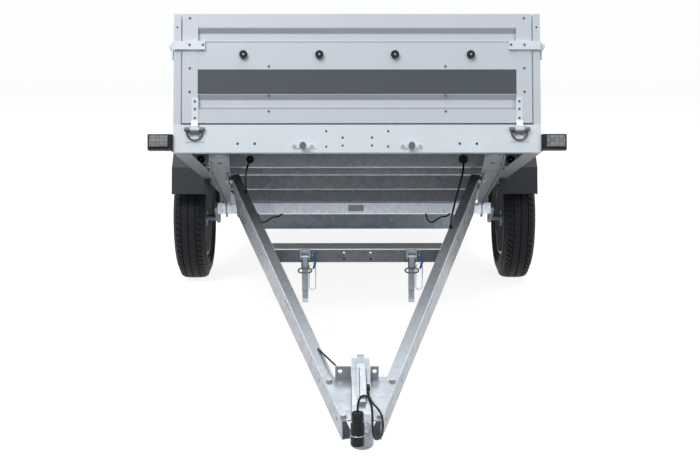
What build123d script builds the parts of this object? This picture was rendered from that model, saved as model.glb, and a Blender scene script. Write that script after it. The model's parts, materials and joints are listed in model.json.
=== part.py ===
"""Tipping box trailer with a folding V drawbar, parked on its wheels, tail bar and coupling.

Millimetres, +X to the right seen from the front, +Y to the rear, +Z up, floor at z = 0.
The box is drawn level in its own frame (y from the front rail's face, z from the underside of
the frame rails) and then tipped.  The drawbar is drawn level with its origin on the pivot pins.
"""
from build123d import *
import os
from math import asin, atan2, cos, degrees, hypot, pi, radians, sin, tan

# ---- box and frame rails
BOX_LENGTH = 2660.0
BOX_WIDTH = 1378.0
RAIL_HEIGHT = 105.0
RAIL_WALL = 3.0
END_RAIL_FLANGE = 40.0
SIDE_RAIL_FLANGE = 61.0
CROSS_FLANGE = 45.0
CROSS_PLACES = (500.0, 800.0, 1480.0, 2240.0)
FLOOR_THICKNESS = 9.0

# ---- boards
BOARD_HEIGHT = 414.0
BOARD_LIFT = 6.0
BOARD_THICKNESS = 25.0
BOARD_GAP = 5.5
SHEET_WALL = 2.0
HEM_LIP = 14.0
CAP_WIDTH = 59.0
CAP_PROUD = 1.5
POST_WIDTH = 27.0
POST_DEPTH = 30.0
GROOVE_DEPTH = 11.0
GROOVE_TOP_SLOPE = 20.0
GROOVE_FLOOR = 28.0
GROOVE_LOW_SLOPE = 9.0
UPPER_GROOVE_BELOW_TOP = 52.0
LOWER_GROOVE_BELOW_TOP = 304.0

# ---- board hinges, knobs and corner latches
HINGE_OUT = 10.0
HINGE_BELOW_RAIL_TOP = 19.0
HINGE_PLACE = 608.0
HINGE_BARREL_RADIUS = 7.0
HINGE_PIN_RADIUS = 4.0
HINGE_BARREL_LENGTH = 72.0
STRAP_WIDTH = 25.0
STRAP_HEIGHT = 96.0
STRAP_WALL = 3.0
RING_WIRE = 3.5
RING_WIDTH = 66.0
RING_HEIGHT = 62.0
KNOB_RADIUS = 15.5
KNOB_HEIGHT = 13.0
KNOB_BELOW_TOP = 156.0
KNOB_PLACES = (-427.0, -142.0, 142.0, 427.0)
LATCH_LENGTH = 118.0
LATCH_HEIGHT = 32.0
LATCH_BELOW_TOP = 121.0
LATCH_STAND = 5.0
LATCH_WALL = 4.0

# ---- wheels and axle
TYRE_RADIUS = 289.0
TYRE_WIDTH = 146.0
TYRE_INNER_PLACE = 694.0
RIM_RADIUS = 168.0
RIM_WIDTH = 118.0
RIM_LIP = 8.0
TYRE_WALL = 11.0
AXLE_SIDE = 50.0
AXLE_HALF = 648.0
AXLE_PLACE = 1207.0
AXLE_DROP = 117.0
HUB_PLACE = 1298.0
HUB_DROP = 154.0
SPINDLE_RADIUS = 15.0
SPINDLE_CLEARANCE = 0.08
HUB_RADIUS = 48.0
ARM_WALL = 14.0
CLAMP_PLACES = (551.0, 604.0)
CLAMP_WALL = 6.0
CLAMP_REACH = 15.0
HANGER_PLACE = 632.0
HANGER_WALL = 6.0
HANGER_FOOT = 60.0
AXLE_PLATE_WIDTH = 73.0
AXLE_PLATE_HEIGHT = 30.0
LOOP_CABLE = 8.0

# ---- tapered braces that carry the axle and the pivot pins
BRACE_WALL = 4.0
BRACE_FLANGE = 18.0
BRACE_FRONT = 41.0
BRACE_BEND = 545.0
BRACE_REAR = 1180.0
BRACE_INNER = (483.0, 529.0, 585.0)
BRACE_OUTER = (560.0, 612.0, 610.0)

# ---- drawbar
PIVOT_PLACE = 672.0
PIVOT_DROP = 36.0
PIVOT_BACK = 20.0
PIVOT_BELOW_TOP = 16.0
PIVOT_PIN_RADIUS = 8.0
PIVOT_CLEARANCE = 0.08
BUSH_RADIUS = 13.0
EAR_PLACE = 544.0
EAR_WALL = 5.0
EAR_RADIUS = 22.0
EAR_REACH = 72.0
BAR_LENGTH = 1832.0
BAR_WALL = 3.0
BAR_FLANGE = 37.0
BAR_REAR_HALF = 539.0
BAR_FRONT_HALF = 58.0
BAR_REAR_HEIGHT = 126.0
BAR_REAR_CUT = 141.0
BAR_FRONT_HEIGHT = 68.0
CROSSBAR_REAR = 664.0
CROSSBAR_DEPTH = 53.0
CROSSBAR_HEIGHT = 55.0
NOSE_PLATE_LENGTH = 228.0
NOSE_PLATE_WALL = 5.0
HEAD_RADIUS = 34.0
HEAD_AHEAD = 47.0
HEAD_RIM_DROP = 29.0
BALL_RADIUS = 25.4
HEAD_WALL = 5.0
COUPLING_WIDTH = 57.0
COUPLING_REACH = 287.0
HANDLE_WIDTH = 24.0
TOGGLE_PLACE = 201.0
TOGGLE_SHIFT = 4.0
BAIL_WIDTH = 50.0
BAIL_DEPTH = 26.0
PIN_RING_DROP = 58.0
KEEPER_HEIGHT = 23.0
UPRIGHT_PLACE = -11.5

# ---- tail bar, lamps, mudguards
TAIL_BAR_HALF = 620.0
TAIL_BAR_HEIGHT = 126.0
TAIL_BAR_DEPTH = 30.0
MUDGUARD_WALL = 4.0
MUDGUARD_OUTER = 832.0
MUDGUARD_SKIRT_INNER = 657.0
MUDGUARD_REACH = 357.0
MUDGUARD_LOW = 83.0
MUDGUARD_LIP = 25.0
LAMP_WIDTH = 88.0
LAMP_HEIGHT = 59.0
LAMP_DEPTH = 38.0
LAMP_LOW = 8.0
LENS_PROUD = 7.0

HALF = BOX_WIDTH / 2
NOSE_PLATE_REAR = BAR_LENGTH - NOSE_PLATE_LENGTH
COUPLING_REAR = BAR_LENGTH - COUPLING_REACH
HEAD_PLACE = BAR_LENGTH + HEAD_AHEAD
FLOOR_TOP = RAIL_HEIGHT
BOARD_LOW = RAIL_HEIGHT + BOARD_LIFT
BOARD_TOP = BOARD_LOW + BOARD_HEIGHT
BOARD_HALF = HALF - POST_WIDTH - BOARD_GAP
TYRE_PLACE = TYRE_INNER_PLACE + TYRE_WIDTH / 2


def solve_tilt(across, up, reach):
    """Angle t (radians) for which across * sin(t) + up * cos(t) = reach."""
    return asin(reach / hypot(across, up)) - atan2(up, across)


# The box tips about its wheels until the tail bar's lower rear edge is on the floor.
TAIL_BACK = BOX_LENGTH + TAIL_BAR_DEPTH
BED_TILT = solve_tilt(TAIL_BACK - HUB_PLACE, TAIL_BAR_HEIGHT - HUB_DROP, TYRE_RADIUS)
BED_RAISE = TYRE_RADIUS + HUB_PLACE * sin(BED_TILT) + HUB_DROP * cos(BED_TILT)
BED = Pos(0, 0, BED_RAISE) * Rot(X=-degrees(BED_TILT))

# The drawbar folds down about its pins until the coupling's rim is on the floor.
PIVOT_Y = PIVOT_PLACE * cos(BED_TILT) - PIVOT_DROP * sin(BED_TILT)
PIVOT_Z = BED_RAISE - PIVOT_PLACE * sin(BED_TILT) - PIVOT_DROP * cos(BED_TILT)
NOSE_REACH = HEAD_PLACE - PIVOT_BACK + HEAD_RADIUS
NOSE_DROP = HEAD_RIM_DROP
BAR_SLOPE = solve_tilt(NOSE_REACH, NOSE_DROP, PIVOT_Z)
TOW = Pos(0, PIVOT_Y, PIVOT_Z) * Rot(X=degrees(BAR_SLOPE))

PARTS = {}


def keep(name, frame, *shapes):
    """Files the shapes under one node name, moved into the frame they ride in."""
    PARTS.setdefault(name, []).extend(frame * shape for shape in shapes)


def prism(points, direction, length):
    """Flat outline, given as 3-D points, pushed along a direction."""
    return extrude(make_face(Polyline(*points, close=True)), amount=length, dir=direction)


def along_x(outline, x0, x1):
    """Outline of (y, z) points between two x places."""
    return prism([(x0, y, z) for y, z in outline], (1, 0, 0), x1 - x0)


def along_y(outline, y0, y1):
    """Outline of (x, z) points between two y places."""
    return prism([(x, y0, z) for x, z in outline], (0, 1, 0), y1 - y0)


def along_z(outline, z0, z1):
    """Outline of (x, y) points between two z places."""
    return prism([(x, y, z0) for x, y in outline], (0, 0, 1), z1 - z0)


def block(x0, x1, y0, y1, z0, z1):
    """Plate or block between two corners."""
    low = (min(x0, x1), min(y0, y1), min(z0, z1))
    size = (abs(x1 - x0), abs(y1 - y0), abs(z1 - z0))
    return Pos(*low) * Box(*size, align=(Align.MIN, Align.MIN, Align.MIN))


def rod(axis, centre, radius, length):
    """Round bar centred on a point, along x, y or z."""
    turn = {"x": Rot(Y=90), "y": Rot(X=90), "z": Rot(Z=0)}[axis]
    return Pos(*centre) * turn * Cylinder(radius, length)


def folded(path, wall):
    """Closed outline of a folded sheet: the path is one face, the wall lies to its left."""
    def shifted(i):
        x, y = path[i]
        normals = []
        for a, b in ((i - 1, i), (i, i + 1)):
            if 0 <= a and b < len(path):
                dx, dy = path[b][0] - path[a][0], path[b][1] - path[a][1]
                normals.append((-dy / hypot(dx, dy), dx / hypot(dx, dy)))
        if len(normals) == 1:
            return x + wall * normals[0][0], y + wall * normals[0][1]
        (ax, ay), (bx, by) = normals
        scale = wall / (1 + ax * bx + ay * by)
        return x + scale * (ax + bx), y + scale * (ay + by)
    return list(path) + [shifted(i) for i in reversed(range(len(path)))]


def mirrored(shape, side):
    """The shape as drawn for the right side, or its mirror image for the left."""
    return shape if side > 0 else mirror(shape, about=Plane.YZ)


SIDES = (("left", -1), ("right", 1))


def to_tail(shape):
    """A front-end shape turned to the tail end of the box."""
    return mirror(shape, about=Plane.XZ.offset(-BOX_LENGTH / 2))


# ---------------------------------------------------------------- frame rails
def channel(depth, flange, height, wall):
    """C outline of (y, z): web at y = 0, flanges to +y."""
    return folded([(flange, 0), (0, 0), (0, height), (flange, height)][::-1], wall)


def end_rail(holes):
    web = HALF - RAIL_WALL
    rail = along_x(channel(0, END_RAIL_FLANGE, RAIL_HEIGHT, RAIL_WALL), -web, web)
    rail += block(-HALF, HALF, 0, RAIL_WALL, 0, RAIL_HEIGHT)
    for x, z, radius in holes:
        rail -= rod("y", (x, RAIL_WALL / 2, z), radius, 4 * RAIL_WALL)
    return rail


# columns: distance from the centre, height, radius; each hole stands on both sides
RAIL_HOLES = ((416.0 - 32, 33.0, 5.0), (416.0 + 32, 33.0, 5.0), (116.0, 80.0, 4.5), (116.0, 22.0, 4.5),
              (55.0, 56.0, 4.5), (55.0, 26.0, 4.5))


def frame_rails():
    holes = [(side * x, z, r) for x, z, r in RAIL_HOLES for side in (-1, 1)]
    keep("front_rail", BED, end_rail(holes))
    keep("rear_rail", BED, to_tail(end_rail([])))
    y0, y1 = RAIL_WALL, BOX_LENGTH - RAIL_WALL
    outline = folded([(HALF - SIDE_RAIL_FLANGE, 0), (HALF, 0), (HALF, RAIL_HEIGHT),
                      (HALF - SIDE_RAIL_FLANGE, RAIL_HEIGHT)], RAIL_WALL)
    rail = along_y(outline, y0, y1)
    for near, far in ((y0, END_RAIL_FLANGE), (BOX_LENGTH - END_RAIL_FLANGE, y1)):
        rail -= block(0, HALF - RAIL_WALL, near, far, -1, RAIL_HEIGHT + 1)
    for name, side in SIDES:
        keep("side_rail_" + name, BED, mirrored(rail, side))


def cross_members():
    """Folded channels between the side rails, under the floor."""
    half = HALF - RAIL_WALL
    low, high = RAIL_WALL, RAIL_HEIGHT - RAIL_WALL
    for y in CROSS_PLACES:
        outline = [(y + dy, low + dz) for dy, dz in channel(0, CROSS_FLANGE, high - low, RAIL_WALL)]
        member = along_x(outline, -half, half)
        if y == CROSS_PLACES[0]:
            for place in GROMMET_PLACES:
                member -= rod("y", (place, y, GROMMET_HEIGHT), GROMMET_BORE, 4 * RAIL_WALL)
        keep("cross_members", BED, member)


GROMMET_PLACES = (-646.0, -441.0, 448.0, 646.0)
GROMMET_HEIGHT = 34.0
GROMMET_BORE = 11.0
GROMMET_RADIUS = 16.0
GROMMET_LIP = 3.0


def grommets():
    """Rubber rings that sit in the first cross-member's web."""
    y = CROSS_PLACES[0]
    for place in GROMMET_PLACES:
        ring = rod("y", (place, y + RAIL_WALL / 2, GROMMET_HEIGHT), GROMMET_BORE, RAIL_WALL)
        for face in (y - GROMMET_LIP / 2, y + RAIL_WALL + GROMMET_LIP / 2):
            ring += rod("y", (place, face, GROMMET_HEIGHT), GROMMET_RADIUS, GROMMET_LIP)
        ring -= rod("y", (place, y + RAIL_WALL / 2, GROMMET_HEIGHT), UNDER_CABLE / 2 + 0.5, RAIL_WALL + 3 * GROMMET_LIP)
        keep("grommets", BED, ring)


def floor_panel():
    """Waterproof ply sheet lying on the rails, inside the posts and boards."""
    inner = HALF - POST_WIDTH
    sheet = block(-inner, inner, BOARD_THICKNESS + BOARD_GAP, BOX_LENGTH - BOARD_THICKNESS - BOARD_GAP,
                  FLOOR_TOP, FLOOR_TOP + FLOOR_THICKNESS)
    keep("floor_panel", BED, sheet)


# ---------------------------------------------------------------- boards
def board_path(low, high):
    """Outer face of a board from bottom lip to top lip as (depth behind the face, z)."""
    path = [(BOARD_THICKNESS, low + HEM_LIP), (BOARD_THICKNESS, low), (0, low)]
    for below in (LOWER_GROOVE_BELOW_TOP, UPPER_GROOVE_BELOW_TOP):
        top = high - below
        floor_top = top - GROOVE_TOP_SLOPE
        floor_low = floor_top - GROOVE_FLOOR
        path += [(0, floor_low - GROOVE_LOW_SLOPE), (GROOVE_DEPTH, floor_low), (GROOVE_DEPTH, floor_top),
                 (0, top)]
    return path + [(0, high), (BOARD_THICKNESS, high), (BOARD_THICKNESS, high - HEM_LIP)]


def end_board(holes_at=()):
    """Front board: grooved sheet, folded hems and a plain cap over each end."""
    sheet = along_x(folded(board_path(BOARD_LOW, BOARD_TOP), -SHEET_WALL), -BOARD_HALF, BOARD_HALF)
    for _, side in SIDES:
        cap = folded([(side * (BOARD_HALF - CAP_WIDTH), -CAP_PROUD), (side * BOARD_HALF, -CAP_PROUD),
                      (side * BOARD_HALF, BOARD_THICKNESS), (side * (BOARD_HALF - HEM_LIP), BOARD_THICKNESS)],
                     side * SHEET_WALL)
        sheet += along_z(cap, BOARD_LOW, BOARD_TOP)
    return sheet


def hinge_axis_z():
    return RAIL_HEIGHT - HINGE_BELOW_RAIL_TOP


def board_straps():
    """Two hinge straps: flat on the board's caps, then forward and down to the barrels."""
    straps = []
    axis_z = hinge_axis_z()
    for _, side in SIDES:
        x = side * HINGE_PLACE
        path = [(-CAP_PROUD, BOARD_LOW + STRAP_HEIGHT), (-CAP_PROUD, BOARD_LOW + 8),
                (-HINGE_OUT - HINGE_BARREL_RADIUS + STRAP_WALL, axis_z + 12),
                (-HINGE_OUT - HINGE_BARREL_RADIUS + STRAP_WALL, axis_z)]
        strap = along_x(folded(path, -STRAP_WALL), x - STRAP_WIDTH / 2, x + STRAP_WIDTH / 2)
        eye = rod("x", (x, -HINGE_OUT, axis_z), HINGE_BARREL_RADIUS, STRAP_WIDTH)
        strap += eye
        strap -= rod("x", (x, -HINGE_OUT, axis_z), HINGE_PIN_RADIUS + SPINDLE_CLEARANCE, 2 * STRAP_WIDTH)
        straps.append(strap)
    return straps


def lashing_ring():
    """D-shaped wire ring hanging in a small clip, its bar on the origin along x."""
    bend = RING_WIDTH / 2 - RING_WIRE
    arc = revolve(Pos(bend, 0) * Rot(X=0) * make_face(Circle(RING_WIRE).edges()), axis=Axis((0, 0, 0), (0, 1, 0)),
                  revolution_arc=180)
    ring = arc + rod("x", (0, 0, 0), RING_WIRE, 2 * bend)
    for end in (-bend, bend):
        ring += Pos(end, 0, 0) * Sphere(RING_WIRE)
    clip = block(-17, 17, -RING_WIRE - 2, RING_WIRE, -9, 7)
    clip -= block(-9, 9, -RING_WIRE - 3, RING_WIRE + 1, -20, -6)
    return ring + clip


def hinge_leaves():
    """Rail side of the board hinges: two eyes on a leaf, the pin, and a lashing ring below."""
    axis_z = hinge_axis_z()
    leaves, rings = [], []
    eye = (HINGE_BARREL_LENGTH - STRAP_WIDTH) / 2 - 1.0
    for _, side in SIDES:
        x = side * HINGE_PLACE
        leaf = block(x - HINGE_BARREL_LENGTH / 2, x + HINGE_BARREL_LENGTH / 2, -STRAP_WALL, 0, 40, axis_z + 2)
        for end in (-1, 1):
            centre = x + end * (STRAP_WIDTH / 2 + 1.0 + eye / 2)
            leaf += rod("x", (centre, -HINGE_OUT, axis_z), HINGE_BARREL_RADIUS, eye)
            leaf += block(centre - eye / 2, centre + eye / 2, -HINGE_OUT, 0, axis_z - HINGE_BARREL_RADIUS, axis_z)
        leaf += rod("x", (x, -HINGE_OUT, axis_z), HINGE_PIN_RADIUS, HINGE_BARREL_LENGTH)
        leaf -= block(x - STRAP_WIDTH / 2 - 1, x + STRAP_WIDTH / 2 + 1, -STRAP_WALL, 0, axis_z - 18, axis_z + 3)
        leaves.append(leaf)
        rings.append(Pos(x, -STRAP_WALL - RING_WIRE, RING_HEIGHT) * lashing_ring())
    return leaves, rings


def knobs():
    """Tarpaulin knobs with a flared head."""
    z = BOARD_TOP - KNOB_BELOW_TOP
    made = []
    for x in KNOB_PLACES:
        stem = rod("y", (x, -KNOB_HEIGHT / 2 - 0.0, z), KNOB_RADIUS * 0.62, KNOB_HEIGHT)
        head = rod("y", (x, -KNOB_HEIGHT + 2.5, z), KNOB_RADIUS, 5)
        made.append(stem + head)
    return made


def latch_straps():
    """Board side of the corner latches, riveted to the caps and bridging to the posts."""
    z0 = BOARD_TOP - LATCH_BELOW_TOP - LATCH_HEIGHT / 2
    z1 = z0 + LATCH_HEIGHT
    straps = []
    inner = HALF - LATCH_LENGTH
    for _, side in SIDES:
        pad = block(side * inner, side * (BOARD_HALF - 8), -CAP_PROUD - LATCH_STAND, -CAP_PROUD, z0, z1)
        bar = block(side * inner, side * HALF, -CAP_PROUD - LATCH_STAND - LATCH_WALL, -CAP_PROUD - LATCH_STAND,
                    z0, z1)
        straps.append(pad + bar)
    return straps


def corner_latches():
    """Over-centre levers on the outer face of the side boards, at one end of the box."""
    z0 = BOARD_TOP - LATCH_BELOW_TOP - LATCH_HEIGHT / 2
    z1 = z0 + LATCH_HEIGHT
    levers = []
    for _, side in SIDES:
        base = block(side * HALF, side * (HALF + 4), 8, 82, z0, z1)
        outline = [(8, z1 - 2), (8, z0 - 34), (20, z0 - 34), (34, z0), (60, z0 + 4), (60, z1 - 6), (34, z1 - 2)]
        lever = along_x([(y, z) for y, z in outline], side * (HALF + 4), side * (HALF + 9))
        lever += rod("y", (side * (HALF + 13), 34, z0 + LATCH_HEIGHT / 2), 9, 44)
        levers.append(base + lever)
    return levers


def end_boards():
    for name, turn in (("front", lambda s: s), ("tail", to_tail)):
        keep(name + "_board", BED, turn(end_board()))
        keep(name + "_board_straps", BED, *[turn(s) for s in board_straps() + latch_straps()])
        keep(name + "_board_knobs", BED, *[turn(s) for s in knobs()])
        leaves, rings = hinge_leaves()
        keep(name + "_hinge_leaves", BED, *[turn(s) for s in leaves])
        keep("lashing_rings", BED, *[turn(s) for s in rings])
        keep("corner_latches", BED, *[turn(s) for s in corner_latches()])


def side_boards():
    """Grooved side walls and the four corner posts."""
    outline = folded([(HALF - depth, z) for depth, z in board_path(RAIL_HEIGHT, BOARD_TOP)], SHEET_WALL)
    board = along_y(outline, POST_DEPTH, BOX_LENGTH - POST_DEPTH)
    post = along_z(folded([(HALF - POST_WIDTH, POST_DEPTH), (HALF - POST_WIDTH, 0), (HALF, 0),
                           (HALF, POST_DEPTH)], SHEET_WALL), RAIL_HEIGHT, BOARD_TOP)
    post += block(HALF - POST_WIDTH, HALF, 0, POST_DEPTH, BOARD_TOP - SHEET_WALL, BOARD_TOP)
    for name, side in SIDES:
        keep("side_board_" + name, BED, mirrored(board, side))
        keep("corner_posts", BED, mirrored(post, side), to_tail(mirrored(post, side)))


# ---------------------------------------------------------------- axle and wheels
def brace_plane(x_in, x_out, y, z):
    """U outline of one station of the brace: plate on top, a flange down each edge."""
    w, f = BRACE_WALL, BRACE_FLANGE
    xz = [(x_in, z), (x_out, z), (x_out, z - f), (x_out - w, z - f), (x_out - w, z - w), (x_in + w, z - w),
          (x_in + w, z - f), (x_in, z - f)]
    return Polyline(*[(x, y, zz) for x, zz in xz], close=True)


def braces():
    """Tapered channels from the front rail back and down to the axle, with the pivot ears."""
    axle_top = -AXLE_DROP + AXLE_SIDE / 2
    stations = [(BRACE_FRONT, 0.0), (BRACE_BEND, 0.0), (BRACE_REAR, axle_top + BRACE_WALL)]
    outlines = [brace_plane(x0, x1, y, z) for (y, z), x0, x1 in zip(stations, BRACE_INNER, BRACE_OUTER)]
    faces = [make_face(o) for o in outlines]
    brace = loft([faces[0], faces[1]], ruled=True) + loft([faces[1], faces[2]], ruled=True)
    pivot = (PIVOT_PLACE, -PIVOT_DROP)
    fall = (axle_top + BRACE_WALL) / (BRACE_REAR - BRACE_BEND)
    front, back = pivot[0] - EAR_REACH, pivot[0] + EAR_REACH
    edge = [(y, (y - BRACE_BEND) * fall) for y in (front, back)]
    brace -= block(0, EAR_PLACE, front, back, -100, 20)
    ear = along_x([*edge, (back, edge[1][1] - 14), (pivot[0] + 16, pivot[1] - 15), (pivot[0] - 16, pivot[1] - 15),
                   (front, edge[0][1] - 14)], EAR_PLACE, EAR_PLACE + EAR_WALL)
    brace += ear + rod("x", (EAR_PLACE + EAR_WALL / 2, *pivot), EAR_RADIUS, EAR_WALL)
    brace -= rod("x", (EAR_PLACE, *pivot), PIVOT_PIN_RADIUS, 40)
    for name, side in SIDES:
        keep("axle_brace_" + name, BED, mirrored(brace, side))


def pivot_pins():
    """Headed pins that carry the drawbar in the ears."""
    pin = rod("x", (EAR_PLACE - 12, PIVOT_PLACE, -PIVOT_DROP), PIVOT_PIN_RADIUS, 46)
    pin += rod("x", (EAR_PLACE + EAR_WALL + 4, PIVOT_PLACE, -PIVOT_DROP), 12, 8)
    for _, side in SIDES:
        keep("pivot_pins", BED, mirrored(pin, side))


def axle():
    low, high = -AXLE_DROP - AXLE_SIDE / 2, -AXLE_DROP + AXLE_SIDE / 2
    y0, y1 = AXLE_PLACE - AXLE_SIDE / 2, AXLE_PLACE + AXLE_SIDE / 2
    tube = block(-AXLE_HALF, AXLE_HALF, y0, y1, low, high)
    tube -= block(-AXLE_HALF - 1, AXLE_HALF + 1, y0 + 4, y1 - 4, low + 4, high - 4)
    keep("axle_tube", BED, tube)
    hanger = along_x([(y0 + 4, 0), (y1 + HANGER_FOOT, 0), (y1 + 12, low), (y1, low), (y1, high), (y0 + 4, high)],
                     HANGER_PLACE, HANGER_PLACE + HANGER_WALL)
    tip = [(y0 - 1.8, high), (y1 + 6, high), (y1 + 6, low - 5), (y1 - 8, low - CLAMP_REACH),
           (y0 + 12, low - CLAMP_REACH), (y0 - 1.8, low - 5)]
    hole = block(0, HALF, y0, y1, low, high)
    plate = block(-AXLE_PLATE_WIDTH / 2 + 8, AXLE_PLATE_WIDTH / 2 + 8, y0 - 1, y0, high - 10 - AXLE_PLATE_HEIGHT,
                  high - 10)
    keep("axle_plate", BED, plate)
    # columns: places across of a slack loop's two ends, depth of the loop below the tube
    for a, b, drop in ((-459.0, -340.0, 45.0), (339.0, 458.0, 45.0)):
        y = y0 + 12
        loop, radii = cable(((a, y, low), (a, y, low - drop), (b, y, low - drop), (b, y, low)), LOOP_CABLE)
        print("axle loop radii", radii)
        keep("axle_cable_loops", BED, loop)
    for name, side in SIDES:
        keep("axle_hangers", BED, mirrored(hanger, side))
        for place in CLAMP_PLACES:
            keep("axle_clamps", BED, mirrored(along_x(tip, place, place + CLAMP_WALL) - hole, side))
        arm_x0, arm_x1 = AXLE_HALF, AXLE_HALF + ARM_WALL
        ends = ((AXLE_PLACE, -AXLE_DROP, 30.0), (HUB_PLACE, -HUB_DROP, 24.0))
        arm = None
        for y, z, radius in ends:
            disc = rod("x", ((arm_x0 + arm_x1) / 2, y, z), radius, ARM_WALL)
            arm = disc if arm is None else arm + disc
        dy, dz = HUB_PLACE - AXLE_PLACE, AXLE_DROP - HUB_DROP
        run = hypot(dy, dz)
        ny, nz = -dz / run, dy / run
        (ya, za, ra), (yb, zb, rb) = ends
        arm += along_x([(ya + ny * ra, za + nz * ra), (yb + ny * rb, zb + nz * rb), (yb - ny * rb, zb - nz * rb),
                        (ya - ny * ra, za - nz * ra)], arm_x0, arm_x1)
        spindle = rod("x", ((arm_x1 + TYRE_PLACE + 40) / 2, HUB_PLACE, -HUB_DROP), SPINDLE_RADIUS,
                      TYRE_PLACE + 40 - arm_x1)
        keep("swing_arm_" + name, BED, mirrored(arm + spindle, side))


HUB_Y = HUB_PLACE * cos(BED_TILT) - HUB_DROP * sin(BED_TILT)


def turned(outline, x0):
    """Solid of revolution about the wheel's own axis, from (x, radius) points."""
    face = make_face(Polyline(*[(x0 + x, 0, r) for x, r in outline], close=True))
    return revolve(face, axis=Axis((0, 0, 0), (1, 0, 0)), revolution_arc=360)


def wheels():
    half = TYRE_WIDTH / 2
    bead = RIM_WIDTH / 2 - 4
    outer = [(-bead, RIM_RADIUS), (-bead, RIM_RADIUS + RIM_LIP + 1), (-half + 4, RIM_RADIUS + 30),
             (-half, RIM_RADIUS + 62),
             (-half + 6, TYRE_RADIUS - 26), (-half + 22, TYRE_RADIUS - 5), (-half + 44, TYRE_RADIUS)]
    outer += [(-x, r) for x, r in reversed(outer)]
    inner = [(bead - TYRE_WALL, RIM_RADIUS), (half - TYRE_WALL, RIM_RADIUS + 58),
             (half - 24, TYRE_RADIUS - 5 - TYRE_WALL)]
    inner += [(-x, r) for x, r in reversed(inner)]
    tyre = turned(outer + inner, 0)
    lip, edge = RIM_WIDTH / 2, RIM_RADIUS + RIM_LIP
    barrel = [(-lip, edge), (-lip + 4, edge), (-lip + 4, RIM_RADIUS), (-20, RIM_RADIUS),
              (-8, RIM_RADIUS - 14), (14, RIM_RADIUS - 14), (24, RIM_RADIUS), (lip - 4, RIM_RADIUS),
              (lip - 4, edge), (lip, edge), (lip, RIM_RADIUS - 3), (26, RIM_RADIUS - 3),
              (16, RIM_RADIUS - 17), (-10, RIM_RADIUS - 17), (-22, RIM_RADIUS - 3), (-lip, RIM_RADIUS - 3)]
    disc = [(10, RIM_RADIUS - 16), (14, RIM_RADIUS - 16), (28, RIM_RADIUS - 46), (28, 92), (16, 74), (16, 34),
            (12, 34), (12, 76), (24, 94), (24, RIM_RADIUS - 48)]
    bore = SPINDLE_RADIUS + SPINDLE_CLEARANCE
    hub = [(-56, HUB_RADIUS - 8), (4, HUB_RADIUS - 8), (4, HUB_RADIUS + 18), (12, HUB_RADIUS + 18), (12, 31),
           (44, 31), (44, bore), (-56, bore)]
    rim = turned(barrel, 0) + turned(disc, 0)
    hand_holes = 8
    for i in range(hand_holes):
        place = Rot(X=360 / hand_holes * i) * Pos(26, 0, 108)
        rim -= place * Rot(Y=90) * Cylinder(13, 40)
    for name, side in SIDES:
        spot = Pos(side * TYRE_PLACE, HUB_Y, TYRE_RADIUS)
        keep("tyre_" + name, spot, mirrored(tyre, side))
        keep("rim_" + name, spot, mirrored(rim, side))
        keep("hub_" + name, spot, mirrored(turned(hub, 0), side))


def mudguards():
    """Flat-topped plastic guards with a skirt across the front and rear."""
    y, z = HUB_PLACE, -HUB_DROP
    path = [(y - MUDGUARD_REACH, z + MUDGUARD_LOW), (y - MUDGUARD_REACH, z + 205), (y - 300, z + 286), (y - 190, z + 337), (y + 190, z + 337),
            (y + 300, z + 286), (y + MUDGUARD_REACH, z + 205), (y + MUDGUARD_REACH, z + MUDGUARD_LOW)]
    shell = along_x(folded(path, -MUDGUARD_WALL), HALF, MUDGUARD_OUTER)
    lip = [(a, b) for a, b in path]
    rim_path = folded(lip, -MUDGUARD_LIP)
    shell += along_x(rim_path, MUDGUARD_OUTER - MUDGUARD_WALL, MUDGUARD_OUTER)
    shell += along_x(folded(lip, -MUDGUARD_LIP), HALF, HALF + MUDGUARD_WALL)
    for edge in (y - MUDGUARD_REACH, y + MUDGUARD_REACH - MUDGUARD_WALL):
        shell += block(MUDGUARD_SKIRT_INNER, HALF, edge, edge + MUDGUARD_WALL, z + MUDGUARD_LOW, -1)
    for name, side in SIDES:
        keep("mudguard_" + name, BED, mirrored(shell, side))


# ---------------------------------------------------------------- lamps and tail bar
def tail_bar():
    """Folded bar that hangs under the rear rail, carries the rear lamps and meets the floor."""
    back = TAIL_BACK
    bar = along_x(folded([(back - TAIL_BAR_DEPTH - 30, -TAIL_BAR_HEIGHT), (back, -TAIL_BAR_HEIGHT), (back, 0),
                          (back - TAIL_BAR_DEPTH - 30, 0)], RAIL_WALL), -TAIL_BAR_HALF, TAIL_BAR_HALF)
    keep("tail_bar", BED, bar)
    for _, side in SIDES:
        x = side * (TAIL_BAR_HALF - 130)
        lamp = block(x - 115, x + 115, back, back + 36, -TAIL_BAR_HEIGHT + 24, -6)
        keep("rear_lamps", BED, lamp)


def position_lamps():
    inner = HALF
    housing = block(inner, inner + 5, -14, 30, LAMP_LOW - 4, LAMP_LOW + LAMP_HEIGHT)
    housing += block(inner + 5, inner + 5 + LAMP_WIDTH, -18, -18 + LAMP_DEPTH, LAMP_LOW, LAMP_LOW + LAMP_HEIGHT)
    lens = block(inner + 18, inner + 5 + LAMP_WIDTH - 7, -18 - LENS_PROUD, -18, LAMP_LOW + 12,
                 LAMP_LOW + LAMP_HEIGHT - 5)
    for _, side in SIDES:
        keep("position_lamps", BED, mirrored(housing, side))
        keep("position_lamp_lenses", BED, mirrored(lens, side))


# ---------------------------------------------------------------- drawbar
BAR_TOP = PIVOT_BELOW_TOP
BAR_TURN = atan2(BAR_REAR_HALF - BAR_FRONT_HALF, BAR_LENGTH)


def forward(s):
    """Y place of a point s ahead of the bars' rear ends."""
    return PIVOT_BACK - s


def bar_place(s):
    """Distance from the centre plane to the outer face of a bar's web."""
    return BAR_REAR_HALF - (BAR_REAR_HALF - BAR_FRONT_HALF) * s / BAR_LENGTH


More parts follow.
